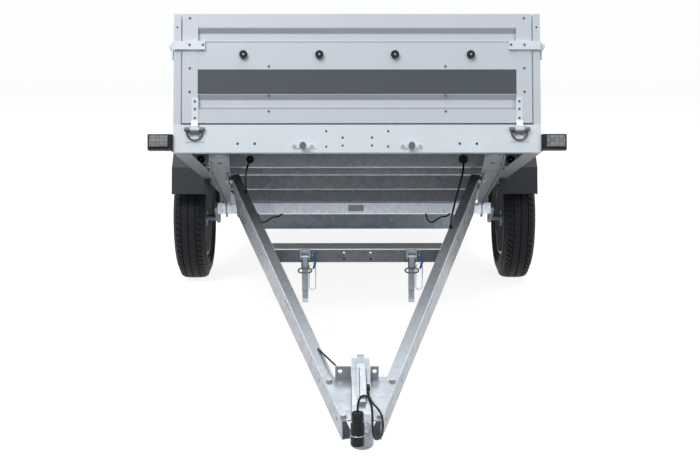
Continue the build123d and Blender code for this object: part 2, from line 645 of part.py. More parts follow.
# columns: distance from the bar's rear end (negative: from its front end), depth below its top, radius
BAR_HOLES = ((407.0, 50.0, 5.0), (504.0, 54.0, 5.0), (575.0, 54.0, 5.0), (618.0, 52.0, 6.0), (658.0, 50.0, 6.0),
             (702.0, 30.0, 5.0), (759.0, 54.0, 4.0), (835.0, 56.0, 3.5), (1080.0, 22.0, 5.5), (1110.0, 22.0, 5.5),
             (1139.0, 21.0, 5.5), (-361.0, 42.0, 3.5), (-272.0, 38.0, 6.0), (-60.0, 34.0, 6.0))


def drawbar_rails():
    """Tapered C bars, deeper at the rear and cut on a slant behind the pivot."""
    length = BAR_LENGTH / cos(BAR_TURN)
    stretch = 1 / cos(BAR_TURN)
    web = [(0, 0), (BAR_REAR_CUT * stretch, -BAR_REAR_HEIGHT), (length, -BAR_FRONT_HEIGHT), (length, 0)]
    plate = prism([(0, -s, z) for s, z in web], (-1, 0, 0), BAR_WALL)
    top = block(-BAR_FLANGE, 0, 0, -length, -BAR_WALL, 0)
    slope = atan2(BAR_REAR_HEIGHT - BAR_FRONT_HEIGHT, length - BAR_REAR_CUT * stretch)
    run = [(BAR_REAR_CUT * stretch, -BAR_REAR_HEIGHT), (length, -BAR_FRONT_HEIGHT),
           (length, -BAR_FRONT_HEIGHT + BAR_WALL), (BAR_REAR_CUT * stretch, -BAR_REAR_HEIGHT + BAR_WALL)]
    bottom = prism([(0, -s, z) for s, z in run], (-1, 0, 0), BAR_FLANGE)
    bar = plate + top + bottom
    for s, depth, radius in BAR_HOLES:
        along = s if s > 0 else BAR_LENGTH + s
        bar -= rod("x", (0, -along * stretch, -depth), radius, 20)
    bar = Pos(BAR_REAR_HALF, forward(0), BAR_TOP) * Rot(Z=-degrees(BAR_TURN)) * bar
    bush = rod("x", (BAR_REAR_HALF - 16, 0, 0), BUSH_RADIUS, 36)
    bore = rod("x", (BAR_REAR_HALF - 16, 0, 0), PIVOT_PIN_RADIUS + PIVOT_CLEARANCE, 90)
    bar = bar - block(300, BAR_REAR_HALF - 60, -40, 40, -60, 60) + bush - bore
    for name, side in SIDES:
        keep("drawbar_rail_" + name, TOW, mirrored(bar, side))


def crossbar():
    """Folded channel between the bars, open at the back, that carries the toggle latches."""
    y_rear, y_front = forward(CROSSBAR_REAR), forward(CROSSBAR_REAR + CROSSBAR_DEPTH)
    low = BAR_TOP - CROSSBAR_HEIGHT
    outline = folded([(y_rear, BAR_TOP), (y_front, BAR_TOP), (y_front, low), (y_rear, low)], BAR_WALL)
    wide = bar_place(CROSSBAR_REAR)
    bar = along_x(outline, -wide, wide)
    margin = BAR_WALL / cos(BAR_TURN) + 0.3
    for _, side in SIDES:
        cut = [(side * (bar_place(s) - margin), forward(s)) for s in (CROSSBAR_REAR - 20, CROSSBAR_REAR + 80)]
        cut += [(side * 900, forward(CROSSBAR_REAR + 80)), (side * 900, forward(CROSSBAR_REAR - 20))]
        bar -= along_z(cut, low - 10, BAR_TOP + 10)
        lower = [(side * (bar_place(s) - BAR_FLANGE - 3), forward(s)) for s in (CROSSBAR_REAR - 20, CROSSBAR_REAR + 80)]
        lower += [(side * 900, forward(CROSSBAR_REAR + 80)), (side * 900, forward(CROSSBAR_REAR - 20))]
        bar -= along_z(lower, BAR_TOP - BAR_WALL - 0.01, BAR_TOP + 10)
    for x in (-50.0, 50.0):
        for drop in (15.0, 42.0):
            bar -= rod("y", (x, y_front, BAR_TOP - drop), 4.5, 20)
    keep("crossbar", TOW, bar)


def nose():
    """Top plate, upright handle plate and the ball coupling with its lever."""
    top = BAR_TOP + NOSE_PLATE_WALL
    rear, front = NOSE_PLATE_REAR, BAR_LENGTH + 4
    plate = [(-bar_place(rear) - 3, forward(rear)), (bar_place(rear) + 3, forward(rear)),
             (bar_place(front) + 2, forward(front)), (-bar_place(front) - 2, forward(front))]
    keep("nose_plate", TOW, along_z(plate, BAR_TOP, top))
    y = forward(NOSE_PLATE_REAR + 4)
    middle = UPRIGHT_PLACE
    upright = block(middle - 67, middle + 67, y - 5, y, top, top + 42)
    for x in (middle - 52, middle + 54):
        upright -= rod("y", (x, y, top + 24), 7, 20)
    upright -= block(-COUPLING_WIDTH / 2 - 1, COUPLING_WIDTH / 2 + 1, y - 10, y + 5, top - 1, top + 60)
    keep("upright_plate", TOW, upright)
    # columns: distance from the bars' rear end, underside, top of the coupling's body
    stations = ((COUPLING_REAR, top, top + 30.0), (BAR_LENGTH - 132.0, top, top + 30.0), (front + 1, top, 46.0),
                (front + 6, -HEAD_RIM_DROP + 8, 45.0), (HEAD_PLACE, -HEAD_RIM_DROP + 8, 26.0))
    outline = [(forward(s), low) for s, low, _ in stations] + [(forward(s), high) for s, _, high in reversed(stations)]
    half = COUPLING_WIDTH / 2
    body = along_x(outline, -half, half)
    inner = [(forward(s), low - 1) for s, low, _ in stations]
    inner += [(forward(s), high - 4) for s, _, high in reversed(stations)]
    body -= along_x(inner, -half + 4, half - 4)
    centre = forward(HEAD_PLACE)
    dome_z = 8.0
    head = Pos(0, centre, (dome_z - HEAD_RIM_DROP) / 2) * Cylinder(HEAD_RADIUS, dome_z + HEAD_RIM_DROP)
    head += Pos(0, centre, dome_z) * Sphere(HEAD_RADIUS) & Pos(0, centre, dome_z) * Pos(0, 0, 20) * Box(90, 90, 40)
    body += head
    body -= Pos(0, centre, dome_z - 8) * Sphere(BALL_RADIUS)
    body -= Pos(0, centre, (dome_z - 8 - HEAD_RIM_DROP) / 2 - 5) * Cylinder(BALL_RADIUS, dome_z - 8 + HEAD_RIM_DROP + 10)
    keep("coupling_head", TOW, body)
    lever_top = top + 30
    # columns: distance behind the bars' front end, height
    stations = ((266, lever_top), (266, lever_top + 26), (254, lever_top + 30), (232, lever_top + 14),
                (72, lever_top + 8), (32, 60), (32, 48), (74, lever_top))
    lever = along_x([(forward(BAR_LENGTH - s), z) for s, z in stations], -HANDLE_WIDTH / 2, HANDLE_WIDTH / 2)
    keep("coupling_lever", TOW, lever)


def hung(x, z):
    """Frame on the crossbar's face at a place, its z upright while the drawbar stands folded."""
    return Pos(x, forward(CROSSBAR_REAR + CROSSBAR_DEPTH), z) * Rot(X=-degrees(BAR_SLOPE))


def wire_loop(width, height, wire):
    """Oval wire loop in the x-z plane, hanging from the origin."""
    bend = height / 2
    run = width - height
    loop = None
    for end, turn in ((-1, 90), (1, -90)):
        arc = revolve(Pos(bend, 0) * make_face(Circle(wire).edges()), axis=Axis((0, 0, 0), (0, 1, 0)),
                      revolution_arc=180)
        arc = Pos(end * run / 2, 0, -bend) * Rot(Y=turn) * arc
        loop = arc if loop is None else loop + arc
    for z in (0, -height):
        loop += rod("x", (0, 0, z), wire, run)
    return loop


def toggle_latches():
    """Over-centre latches on the crossbar: base, roller, wire bail and a hanging handle, with lynch pins."""
    face = forward(CROSSBAR_REAR + CROSSBAR_DEPTH)
    for name, side in SIDES:
        x = side * TOGGLE_PLACE + TOGGLE_SHIFT
        base = block(x - 20, x + 20, face - 4, face, BAR_TOP - 34, BAR_TOP + 5)
        for ear in (x - 18, x + 15):
            base += block(ear, ear + 3, face - 24, face - 4, BAR_TOP - 34, BAR_TOP - 8)
        base += rod("x", (x, face - 17, BAR_TOP - 24), 6, 33)
        handle = along_x([(-5, 0), (5, 0), (8, -120), (2, -130), (-5, -126), (-3, -60)], x - 12, x + 12)
        handle = Pos(0, face - 17, BAR_TOP - 24) * Rot(X=-degrees(BAR_SLOPE)) * handle
        keep("toggle_latch_" + name, TOW, base + handle)
        bail = Pos(0, -17, 0) * hung(x, BAR_TOP - 24) * Pos(0, -7.5, -16) * Rot(X=-62) * wire_loop(BAIL_WIDTH, BAIL_DEPTH, 3)
        keep("toggle_bails", TOW, bail)
        pin_x = x + 31
        pin = rod("y", (pin_x, face - 10, BAR_TOP - 14), 5, 20)
        strap = hung(pin_x, BAR_TOP - 14) * along_y([(-4, 4), (4, 4), (12, -34), (4, -PIN_RING_DROP), (-4, -PIN_RING_DROP),
                                                     (3, -34)], -26.0, -24.2)
        pin += hung(pin_x, BAR_TOP - 14) * rod("y", (0, -21.6, 0), 4, 5.2)
        keep("lynch_pins", TOW, pin,
             hung(pin_x, BAR_TOP - 14) * Pos(9, -22.2, -PIN_RING_DROP - 30) * Rot(Y=90) * wire_loop(100, 24, 2))
        keep("pin_straps", TOW, strap)


def keepers():
    """Spade-shaped catches on the front rail for the toggle latches' bails."""
    mid = KEEPER_HEIGHT
    for _, side in SIDES:
        x = side * TOGGLE_PLACE + TOGGLE_SHIFT / 2
        plate = block(x - 33, x + 33, -3, 0, mid - 7, mid + 7)
        for lobe in (x - 33, x + 33):
            plate += rod("y", (lobe, -1.5, mid), 9.5, 3)
        arm = block(x - 9, x + 9, -24, -3, mid - 13, mid - 8) + block(x - 9, x + 9, -3, 0, mid - 13, mid)
        spade = along_y([(x - 9, mid - 13), (x + 9, mid - 13), (x + 14, mid - 2), (x + 12, mid + 8), (x + 5, mid + 15),
                         (x - 5, mid + 15), (x - 12, mid + 8), (x - 14, mid - 2)], -28, -23)
        keep("latch_keepers", BED, plate + arm + spade)


def cable(points, diameter):
    """Round cable along straight runs joined by arcs, and the arcs' radii."""
    spots = [Vector(*p) for p in points]
    radii = []
    for a, b, c in zip(spots, spots[1:], spots[2:]):
        turn = radians((b - a).get_angle(c - b))
        radii.append(0.45 * min((b - a).length, (c - b).length) / tan(turn / 2))
    path = FilletPolyline(*spots, radius=radii)
    start = Plane(origin=spots[0], z_dir=spots[1] - spots[0])
    tube = sweep(start * Circle(diameter / 2), path=path)
    return tube, ([round(r, 1) for r in radii], "length", round(path.length, 1), "by volume",
                  round(tube.volume / (pi * diameter ** 2 / 4), 1))


def on_bar(x, y, z):
    """Place in the standing trailer's frame of a point of the drawbar's frame."""
    return tuple((TOW * Pos(x, y, z)).position)


UNDER_CABLE = 8.0
PLUG_CABLE = 6.5
HANGING = ("plug", "plug_cable")
PLUG_RADIUS = 20.5
PLUG_LENGTH = 72.0
PLUG_CAP_RADIUS = 17.5
PLUG_CAP_LENGTH = 28.0
PLUG_AT = (-13.5, -1208.0, 102.0)
GLAND_RADIUS = 7.0
GLAND_HEIGHT = 10.0
BAR_GLANDS = ((-459.2, -165.8), (367.8, -513.9))
NOSE_GLAND = (20.5, -1700.0, 57.0)
NOSE_GLAND_RADIUS = 6.0


def under_cables():
    """Lighting cables that hang slack between the bed and glands on the drawbar's rails."""
    top = BAR_TOP + GLAND_HEIGHT
    (left_x, left_y), (right_x, right_y) = BAR_GLANDS
    routes = (
        ("left", ((-441.0, 533.6, 644.0), (-441.0, 470.0, 658.84), (-450.0, 425.0, 620.0),
                  on_bar(left_x, left_y, top + 60), on_bar(left_x, left_y, top))),
        ("right", ((448.0, 533.6, 644.0), (448.0, 463.0, 660.47), (440.0, 410.0, 600.0),
                   on_bar(right_x, right_y, top + 50), on_bar(right_x, right_y, top))),
    )
    for x, y in BAR_GLANDS:
        keep("cable_glands", TOW, rod("z", (x, y, BAR_TOP + GLAND_HEIGHT / 2), GLAND_RADIUS, GLAND_HEIGHT))
    for name, points in routes:
        tube, facts = cable(points, UNDER_CABLE)
        print("cable", name, facts, [tuple(round(v, 3) for v in p) for p in points])
        keep("cable_" + name, Pos(0, 0, 0), tube)


def plug():
    """Lighting plug that hangs by its cable from a gland on the coupling."""
    x, y, z = PLUG_AT
    top = z + PLUG_CAP_LENGTH
    body = Pos(x, y, z - PLUG_LENGTH / 2) * Cylinder(PLUG_RADIUS, PLUG_LENGTH)
    body += Pos(x, y, z + PLUG_CAP_LENGTH / 2) * Cylinder(PLUG_CAP_RADIUS, PLUG_CAP_LENGTH)
    keep("plug", Pos(0, 0, 0), body)
    gx, gy, gz = NOSE_GLAND
    keep("cable_glands", TOW, rod("y", (gx, gy, gz), NOSE_GLAND_RADIUS, 20))
    points = (on_bar(gx, gy - 10, gz), on_bar(gx, gy - 65, gz), (60.0, -1134.0, 100.0), (60.0, -1168.0, 42.0),
              (28.0, -1222.0, 45.0), (28.0, -1226.0, 178.0), (x, y, 178.0), (x, y, top))
    tube, facts = cable(points, PLUG_CABLE)
    print("cable plug", facts, [tuple(round(v, 3) for v in p) for p in points])
    keep("plug_cable", Pos(0, 0, 0), tube)


def build():
    frame_rails()
    cross_members()
    grommets()
    floor_panel()
    end_boards()
    side_boards()
    braces()
    pivot_pins()
    axle()
    wheels()
    mudguards()
    tail_bar()
    position_lamps()
    drawbar_rails()
    crossbar()
    nose()
    toggle_latches()
    keepers()
    under_cables()
    plug()


def write():
    """Centres the trailer lengthwise on the origin and writes one STEP file for each node."""
    os.makedirs("parts", exist_ok=True)
    boxes = [shape.bounding_box() for name, shapes in PARTS.items() if name not in HANGING for shape in shapes]
    front, back = min(b.min.Y for b in boxes), max(b.max.Y for b in boxes)
    shift = Pos(0, -(front + back) / 2, 0)
    for name, shapes in PARTS.items():
        solids = [shift * solid for shape in shapes for solid in shape.solids()]
        export_step(Compound(children=solids) if len(solids) > 1 else solids[0], f"parts/{name}.step")
    print("tilt", round(degrees(BED_TILT), 4), "slope", round(degrees(BAR_SLOPE), 4), "raise", round(BED_RAISE, 3))
    print("shift", round(shift.position.Y, 4), "low", round(min(b.min.Z for b in boxes), 4),
          "high", round(max(b.max.Z for b in boxes), 3), "long", round(back - front, 3))
    spots = {"pivot": (PIVOT_PLACE, -PIVOT_DROP), "hub": (HUB_PLACE, -HUB_DROP),
             "front hinge": (-HINGE_OUT, hinge_axis_z()), "tail hinge": (BOX_LENGTH + HINGE_OUT, hinge_axis_z())}
    for name, (y, z) in spots.items():
        at = (shift * BED * Pos(0, y, z)).position
        print(name, round(at.Y, 4), round(at.Z, 4))
    print(len(PARTS), "nodes")


build()
write()
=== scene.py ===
"""Looks of a galvanised box trailer: finishes, tyres, fixings, cords and a studio."""

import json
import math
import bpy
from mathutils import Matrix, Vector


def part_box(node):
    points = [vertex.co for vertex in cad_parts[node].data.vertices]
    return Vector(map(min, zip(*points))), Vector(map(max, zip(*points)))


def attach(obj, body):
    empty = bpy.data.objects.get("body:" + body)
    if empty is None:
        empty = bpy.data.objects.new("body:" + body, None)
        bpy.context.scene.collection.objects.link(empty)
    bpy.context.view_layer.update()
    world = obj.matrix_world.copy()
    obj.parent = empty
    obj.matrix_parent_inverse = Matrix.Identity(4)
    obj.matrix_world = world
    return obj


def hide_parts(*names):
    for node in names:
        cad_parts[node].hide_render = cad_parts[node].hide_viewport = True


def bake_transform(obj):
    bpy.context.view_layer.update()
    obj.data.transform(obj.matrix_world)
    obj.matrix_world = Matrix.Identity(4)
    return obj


bl_info = {
    "name": "Box Trailer Looks",
    "version": (1, 0, 0),
    "blender": (4, 5, 0),
    "location": "View3D > Sidebar > Trailer",
    "description": "Finishes, tyres, fixings, cords and a studio for a tipping box trailer",
    "category": "Object",
}

import bmesh
import bpy
from mathutils import Matrix, Vector

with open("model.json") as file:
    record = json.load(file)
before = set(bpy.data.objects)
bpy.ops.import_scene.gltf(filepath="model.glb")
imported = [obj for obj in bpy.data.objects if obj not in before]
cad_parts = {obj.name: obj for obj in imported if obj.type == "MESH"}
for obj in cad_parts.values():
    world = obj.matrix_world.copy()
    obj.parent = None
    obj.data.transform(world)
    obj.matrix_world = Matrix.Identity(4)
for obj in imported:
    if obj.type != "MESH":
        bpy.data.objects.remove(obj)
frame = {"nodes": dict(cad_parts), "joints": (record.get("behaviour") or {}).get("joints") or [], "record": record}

BED, DRAWBAR, FRONT_BOARD, TAIL_BOARD = "bed", "drawbar", "front_board_body", "tail_board_body"
SIDES = {"left": -1, "right": 1}


# ---------------------------------------------------------------- places, worked out from the frame
def corners(*nodes):
    """Lowest and highest corner of several CAD nodes together."""
    boxes = [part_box(node) for node in nodes]
    low = Vector([min(b[0][i] for b in boxes) for i in range(3)])
    high = Vector([max(b[1][i] for b in boxes) for i in range(3)])
    return low, high


def joint(name):
    """One joint of the frame by name."""
    return next(j for j in frame["joints"] if j["name"] == name)


def slope_of(node):
    """Tilt of a flat sheet about X, in radians: the angle that most of its area has."""
    mesh = frame["nodes"][node].data
    total = {}
    for face in mesh.polygons:
        n = face.normal
        if abs(n.x) < 0.01:
            angle = round(math.degrees(math.atan2(n.y, n.z)) % 90.0, 2)
            total[angle] = total.get(angle, 0.0) + face.area
    return math.radians(max(total, key=total.get))


BED_TILT = slope_of("floor_panel")
RAIL_LOW, RAIL_HIGH = corners("front_rail")
HALF_WIDTH = RAIL_HIGH.x
RAIL_HEIGHT = 0.105
# The front rail's top edge leans back, so its lowest front edge gives the bed's origin.
BED_ORIGIN = Vector((0.0, RAIL_LOW.y, RAIL_HIGH.z - RAIL_HEIGHT * math.cos(BED_TILT)))
BED_FRAME = Matrix.Translation(BED_ORIGIN) @ Matrix.Rotation(-BED_TILT, 4, "X")
PIVOT = Vector(joint("drawbar_fold")["pos_m"])
BAR_SLOPE = math.radians(joint("drawbar_fold")["range_deg"][1]) - BED_TILT
TOW_FRAME = Matrix.Translation(PIVOT) @ Matrix.Rotation(BAR_SLOPE, 4, "X")


def on_bed(x, y, z):
    """A place on the box, level in its own frame, as a point in the row frame."""
    return BED_FRAME @ Vector((x, y, z))


def on_bar(x, y, z):
    """A place on the drawbar, in the frame whose origin is the pivot."""
    return TOW_FRAME @ Vector((x, y, z))


def turn_of(matrix):
    """Only the rotation of a frame, for directions."""
    return matrix.to_3x3()


# ---------------------------------------------------------------- small mesh helpers
# Sides of turned pieces and of straight wires, steps round a wire ring and sides of its section.
ROUND_SIDES, WIRE_SIDES = 20, 12
RING_STEPS, RING_SECTION = 28, 8


def new_object(name, vertices, faces, smooth=False):
    """Mesh object at the origin, in the row frame."""
    mesh = bpy.data.meshes.new(name)
    mesh.from_pydata([tuple(v) for v in vertices], [], faces)
    mesh.update()
    obj = bpy.data.objects.new(name, mesh)
    bpy.context.scene.collection.objects.link(obj)
    if smooth:
        mesh.shade_smooth()
    return obj


def revolved(profile, steps, axis_points):
    """Vertices and faces of a closed (x, radius) outline turned about the X axis."""
    vertices, faces = [], []
    count = len(profile)
    for i in range(steps):
        angle = 2 * math.pi * i / steps
        for x, r in profile:
            vertices.append(axis_points + Vector((x, r * math.sin(angle), r * math.cos(angle))))
    for i in range(steps):
        a, b = i * count, (i + 1) % steps * count
        for j in range(count):
            k = (j + 1) % count
            faces.append((a + j, a + k, b + k, b + j))
    return vertices, faces


def facing_out(obj):
    """Recalculates a closed mesh's normals so that they point outwards."""
    work = bmesh.new()
    work.from_mesh(obj.data)
    bmesh.ops.remove_doubles(work, verts=work.verts, dist=1e-6)
    bmesh.ops.recalc_face_normals(work, faces=work.faces)
    work.to_mesh(obj.data)
    work.free()


def plain_mesh(obj):
    """The evaluated mesh of an object with modifiers, as a plain object of the same name."""
    name = obj.name
    graph = bpy.context.evaluated_depsgraph_get()
    mesh = bpy.data.meshes.new_from_object(obj.evaluated_get(graph))
    bpy.data.objects.remove(obj)
    made = bpy.data.objects.new(name, mesh)
    bpy.context.scene.collection.objects.link(made)
    return made


def lathe(name, profile, foot, axis, steps=ROUND_SIDES):
    """Closed turned piece from (radius, height) points, standing on a foot along an axis."""
    turn = axis.to_track_quat("Z", "Y").to_matrix()
    vertices, faces = revolved([(h, r) for r, h in profile], steps, Vector((0, 0, 0)))
    upright = Matrix(((0, 0, 1), (0, 1, 0), (1, 0, 0)))
    obj = new_object(name, [foot + turn @ (upright @ v) for v in vertices], faces)
    facing_out(obj)
    return obj


def straight(name, start, end, radius):
    """Round wire between two points."""
    way = end - start
    outline = ((0.0, 0.0), (radius, 0.0), (radius, way.length), (0.0, way.length))
    return lathe(name, outline, start, way.normalized(), steps=WIRE_SIDES)


def ring(name, centre, axis, radius, wire):
    """Closed wire ring about an axis."""
    turn = axis.to_track_quat("X", "Y").to_matrix()
    turns = [2 * math.pi * i / RING_SECTION for i in range(RING_SECTION)]
    section = [(wire * math.cos(a), radius + wire * math.sin(a)) for a in turns]
    vertices, faces = revolved(section, RING_STEPS, Vector((0, 0, 0)))
    obj = new_object(name, [centre + turn @ v for v in vertices], faces)
    facing_out(obj)
    obj.data.shade_smooth()
    return obj


def prism(outline, start, end):
    """Vertices and faces of a flat outline in the Y-Z plane, carried along X."""
    count = len(outline)
    vertices = [(x, y, z) for x in (start, end) for y, z in outline]
    faces = [tuple(range(count)), tuple(range(count, 2 * count))]
    faces += [(i, (i + 1) % count, (i + 1) % count + count, i + count) for i in range(count)]
    return vertices, faces


def paint(obj, material):
    """One material over a whole piece."""
    obj.data.materials.clear()
    obj.data.materials.append(material)


def seat(obj, body, material=None):
    """Gives a finished piece its material and the body that it rides on."""
    if material:
        paint(obj, material)
    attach(obj, body)
    return obj


# ---------------------------------------------------------------- shader node groups
# Share of the fine grain in the zinc's patches.
GRAIN_SHARE = 0.3


def shader_group(name, inputs, outputs):
    """An empty shader group with named sockets: (name, kind, default) in, (name, kind) out."""
    group = bpy.data.node_groups.new(name, "ShaderNodeTree")
    kinds = {"value": "NodeSocketFloat", "vector": "NodeSocketVector"}
    for label, kind, default in inputs:
        socket = group.interface.new_socket(label, in_out="INPUT", socket_type=kinds[kind])
        if default is not None:
            socket.default_value = default
    for label, kind in outputs:
        group.interface.new_socket(label, in_out="OUTPUT", socket_type=kinds[kind])
    entry = group.nodes.new("NodeGroupInput")
    leave = group.nodes.new("NodeGroupOutput")
    return group, entry, leave


def add(tree, kind, **settings):
    """A node, with attributes and with inputs given by name in a dict called inputs."""
    node = tree.nodes.new(kind)
    inputs = settings.pop("inputs", {})
    for key, value in settings.items():
        setattr(node, key, value)
    for key, value in inputs.items():
        if isinstance(value, bpy.types.NodeSocket):
            tree.links.new(value, node.inputs[key])
        else:
            node.inputs[key].default_value = value
    return node


def mixed(tree, factor, a, b, mode="MIX"):
    """Colour mix node's result."""
    node = tree.nodes.new("ShaderNodeMix")
    node.data_type = "RGBA"
    node.blend_type = mode
    for socket, value in ((node.inputs[0], factor), (node.inputs[6], a), (node.inputs[7], b)):
        if isinstance(value, bpy.types.NodeSocket):
            tree.links.new(value, socket)
        else:
            socket.default_value = value
    return node.outputs[2]


def ramped(tree, factor, low, high, to_low=0.0, to_high=1.0):
    """A value carried from one range to another, held at the ends."""
    node = add(tree, "ShaderNodeMapRange", inputs={"From Min": low, "From Max": high, "To Min": to_low,
                                                   "To Max": to_high})
    tree.links.new(factor, node.inputs["Value"])
    return node.outputs["Result"]


def spangle_group():
    """Zinc crystals: patches of slightly different brightness, with a fine grain over them."""
    group, entry, leave = shader_group(
        "zinc_spangle", [("Vector", "vector", None), ("Patch Size", "value", 30.0), ("Grain", "value", 300.0)],
        [("Patches", "value"), ("Height", "value")])
    cells = add(group, "ShaderNodeTexVoronoi", inputs={"Vector": entry.outputs["Vector"],
                                                       "Scale": entry.outputs["Patch Size"], "Randomness": 1.0})
    grey = add(group, "ShaderNodeSeparateColor")
    group.links.new(cells.outputs["Color"], grey.inputs[0])
    fine = add(group, "ShaderNodeTexNoise", inputs={"Vector": entry.outputs["Vector"],
                                                    "Scale": entry.outputs["Grain"], "Detail": 3.0})
    blend = add(group, "ShaderNodeMath", operation="MULTIPLY_ADD", inputs={1: 1.0 - GRAIN_SHARE})
    group.links.new(grey.outputs[0], blend.inputs[0])
    third = add(group, "ShaderNodeMath", operation="MULTIPLY", inputs={1: GRAIN_SHARE})
    group.links.new(fine.outputs["Fac"], third.inputs[0])
    group.links.new(third.outputs[0], blend.inputs[2])
    group.links.new(blend.outputs[0], leave.inputs["Patches"])
    group.links.new(fine.outputs["Fac"], leave.inputs["Height"])
    return group


def streak_group():
    """Rolling and dip streaks that run along a chosen direction."""
    group, entry, leave = shader_group(
        "metal_streaks", [("Vector", "vector", None), ("Stretch", "vector", (1.0, 1.0, 1.0)),
                          ("Scale", "value", 1.0)], [("Streaks", "value")])
    spread = add(group, "ShaderNodeVectorMath", operation="MULTIPLY")
    group.links.new(entry.outputs["Vector"], spread.inputs[0])
    group.links.new(entry.outputs["Stretch"], spread.inputs[1])
    noise = add(group, "ShaderNodeTexNoise", inputs={"Scale": entry.outputs["Scale"], "Detail": 4.0,
                                                     "Roughness": 0.6})
    group.links.new(spread.outputs[0], noise.inputs["Vector"])
    group.links.new(ramped(group, noise.outputs["Fac"], 0.3, 0.7), leave.inputs["Streaks"])
    return group


def stain_group():
    """Soft cloudy stains: dull white bloom on zinc, or dust on plastic."""
    group, entry, leave = shader_group(
        "cloudy_stain", [("Vector", "vector", None), ("Scale", "value", 6.0), ("Cover", "value", 0.5)],
        [("Mask", "value")])
    noise = add(group, "ShaderNodeTexNoise", inputs={"Vector": entry.outputs["Vector"],
                                                     "Scale": entry.outputs["Scale"], "Detail": 5.0,
                                                     "Roughness": 0.65, "Distortion": 0.4})
    low = add(group, "ShaderNodeMath", operation="SUBTRACT", inputs={0: 0.75})
    group.links.new(entry.outputs["Cover"], low.inputs[1])
    node = add(group, "ShaderNodeMapRange", inputs={"From Max": 0.78, "To Min": 0.0, "To Max": 1.0})
    group.links.new(noise.outputs["Fac"], node.inputs["Value"])
    group.links.new(low.outputs[0], node.inputs["From Min"])
    group.links.new(node.outputs["Result"], leave.inputs["Mask"])
    return group


def placed(tree, group, **inputs):
    """One of the shader groups in a material, with its own values."""
    node = tree.nodes.new("ShaderNodeGroup")
    node.node_tree = bpy.data.node_groups[group]
    for key, value in inputs.items():
        key = key.replace("_", " ")
        if isinstance(value, bpy.types.NodeSocket):
            tree.links.new(value, node.inputs[key])
        else:
            node.inputs[key].default_value = value
    return node


# ---------------------------------------------------------------- materials
# Zinc: finest grain against the patches, share of the streaks and of the bloom, how pale the bloom is, how far the
# roughness varies, the bloom's scale and the depth of the bumps.
FINE_GRAIN = 8
STREAK_SHARE, BLOOM_SHARE, BLOOM_LIGHT, ROUGH_SPREAD = 0.35, 0.35, 1.12, 0.08
BLOOM_SCALE, ZINC_DEPTH = 5.0, 0.0004
# Plastic and rubber: scale and cover of the dust, and the depth of the grain.
DUST_SCALE, DUST_COVER, GRAIN_DEPTH = 9.0, 0.35, 0.0002


def blank(name, roughness, metallic=0.0, coat=0.0, gloss=0.5):
    """A new material, its tree, shader and object coordinates."""
    material = bpy.data.materials.new(name)
    material.use_nodes = True
    tree = material.node_tree
    shader = next(n for n in tree.nodes if n.type == "BSDF_PRINCIPLED")
    shader.inputs["Roughness"].default_value = roughness
    shader.inputs["Metallic"].default_value = metallic
    shader.inputs["Coat Weight"].default_value = coat
    shader.inputs["Specular IOR Level"].default_value = gloss
    where = tree.nodes.new("ShaderNodeTexCoord").outputs["Object"]
    return material, tree, shader, where


def bumped(tree, shader, height, strength, distance):
    """Feeds a height into the shader's normal."""
    node = add(tree, "ShaderNodeBump", inputs={"Strength": strength, "Distance": distance, "Height": height})
    tree.links.new(node.outputs["Normal"], shader.inputs["Normal"])


def shade(colour, factor):
    """A colour made lighter or darker, and opaque."""
    return tuple(min(1.0, c * factor) for c in colour[:3]) + (1.0,)


def zinc(name, light, contrast, patch, stretch, streak_scale, metallic, roughness, bloom=0.25, bump=0.15):
    """Zinc-coated steel: spangled patches, streaks along the sheet and a dull bloom."""
    dark = shade(light, contrast)
    material, tree, shader, where = blank(name, roughness, metallic)
    spangle = placed(tree, "zinc_spangle", Vector=where, Patch_Size=patch, Grain=patch * FINE_GRAIN)
    streak = placed(tree, "metal_streaks", Vector=where, Stretch=stretch, Scale=streak_scale)
    stain = placed(tree, "cloudy_stain", Vector=where, Scale=BLOOM_SCALE, Cover=bloom)
    base = mixed(tree, spangle.outputs["Patches"], dark, shade(light, 1.0))
    base = mixed(tree, ramped(tree, streak.outputs["Streaks"], 0, 1, 0.0, STREAK_SHARE), base, dark)
    cloud = ramped(tree, stain.outputs["Mask"], 0, 1, 0.0, BLOOM_SHARE)
    base = mixed(tree, cloud, base, shade(light, BLOOM_LIGHT))
    tree.links.new(base, shader.inputs["Base Color"])
    rough = ramped(tree, spangle.outputs["Patches"], 0, 1, roughness + ROUGH_SPREAD, roughness - ROUGH_SPREAD)
    tree.links.new(rough, shader.inputs["Roughness"])
    bumped(tree, shader, spangle.outputs["Height"], bump, ZINC_DEPTH)
    return material


def moulded(name, colour, roughness, dust, coat=0.0, grain=900.0, bump=0.25, gloss=0.5):
    """Moulded plastic or rubber: fine grain, with a little dust in clouds."""
    material, tree, shader, where = blank(name, roughness, coat=coat, gloss=gloss)
    stain = placed(tree, "cloudy_stain", Vector=where, Scale=DUST_SCALE, Cover=DUST_COVER)
    colour = tuple(colour[:3])
    pale = tuple(c + dust for c in colour) + (1.0,)
    base = mixed(tree, stain.outputs["Mask"], colour + (1.0,), pale)
    tree.links.new(base, shader.inputs["Base Color"])
    noise = add(tree, "ShaderNodeTexNoise", inputs={"Vector": where, "Scale": grain, "Detail": 2.0})
    bumped(tree, shader, noise.outputs["Fac"], bump, GRAIN_DEPTH)
    return material


def webbing(name, colour):
    """Woven strap: fine diagonal ribs over its colour."""
    material, tree, shader, where = blank(name, 0.7)
    wave = add(tree, "ShaderNodeTexWave", wave_type="BANDS", bands_direction="DIAGONAL",
               inputs={"Vector": where, "Scale": 400.0, "Distortion": 0.4})
    tree.links.new(mixed(tree, wave.outputs["Fac"], shade(colour, 0.6), shade(colour, 1.0)),
                   shader.inputs["Base Color"])
    bumped(tree, shader, wave.outputs["Fac"], 0.5, 0.0003)
    return material


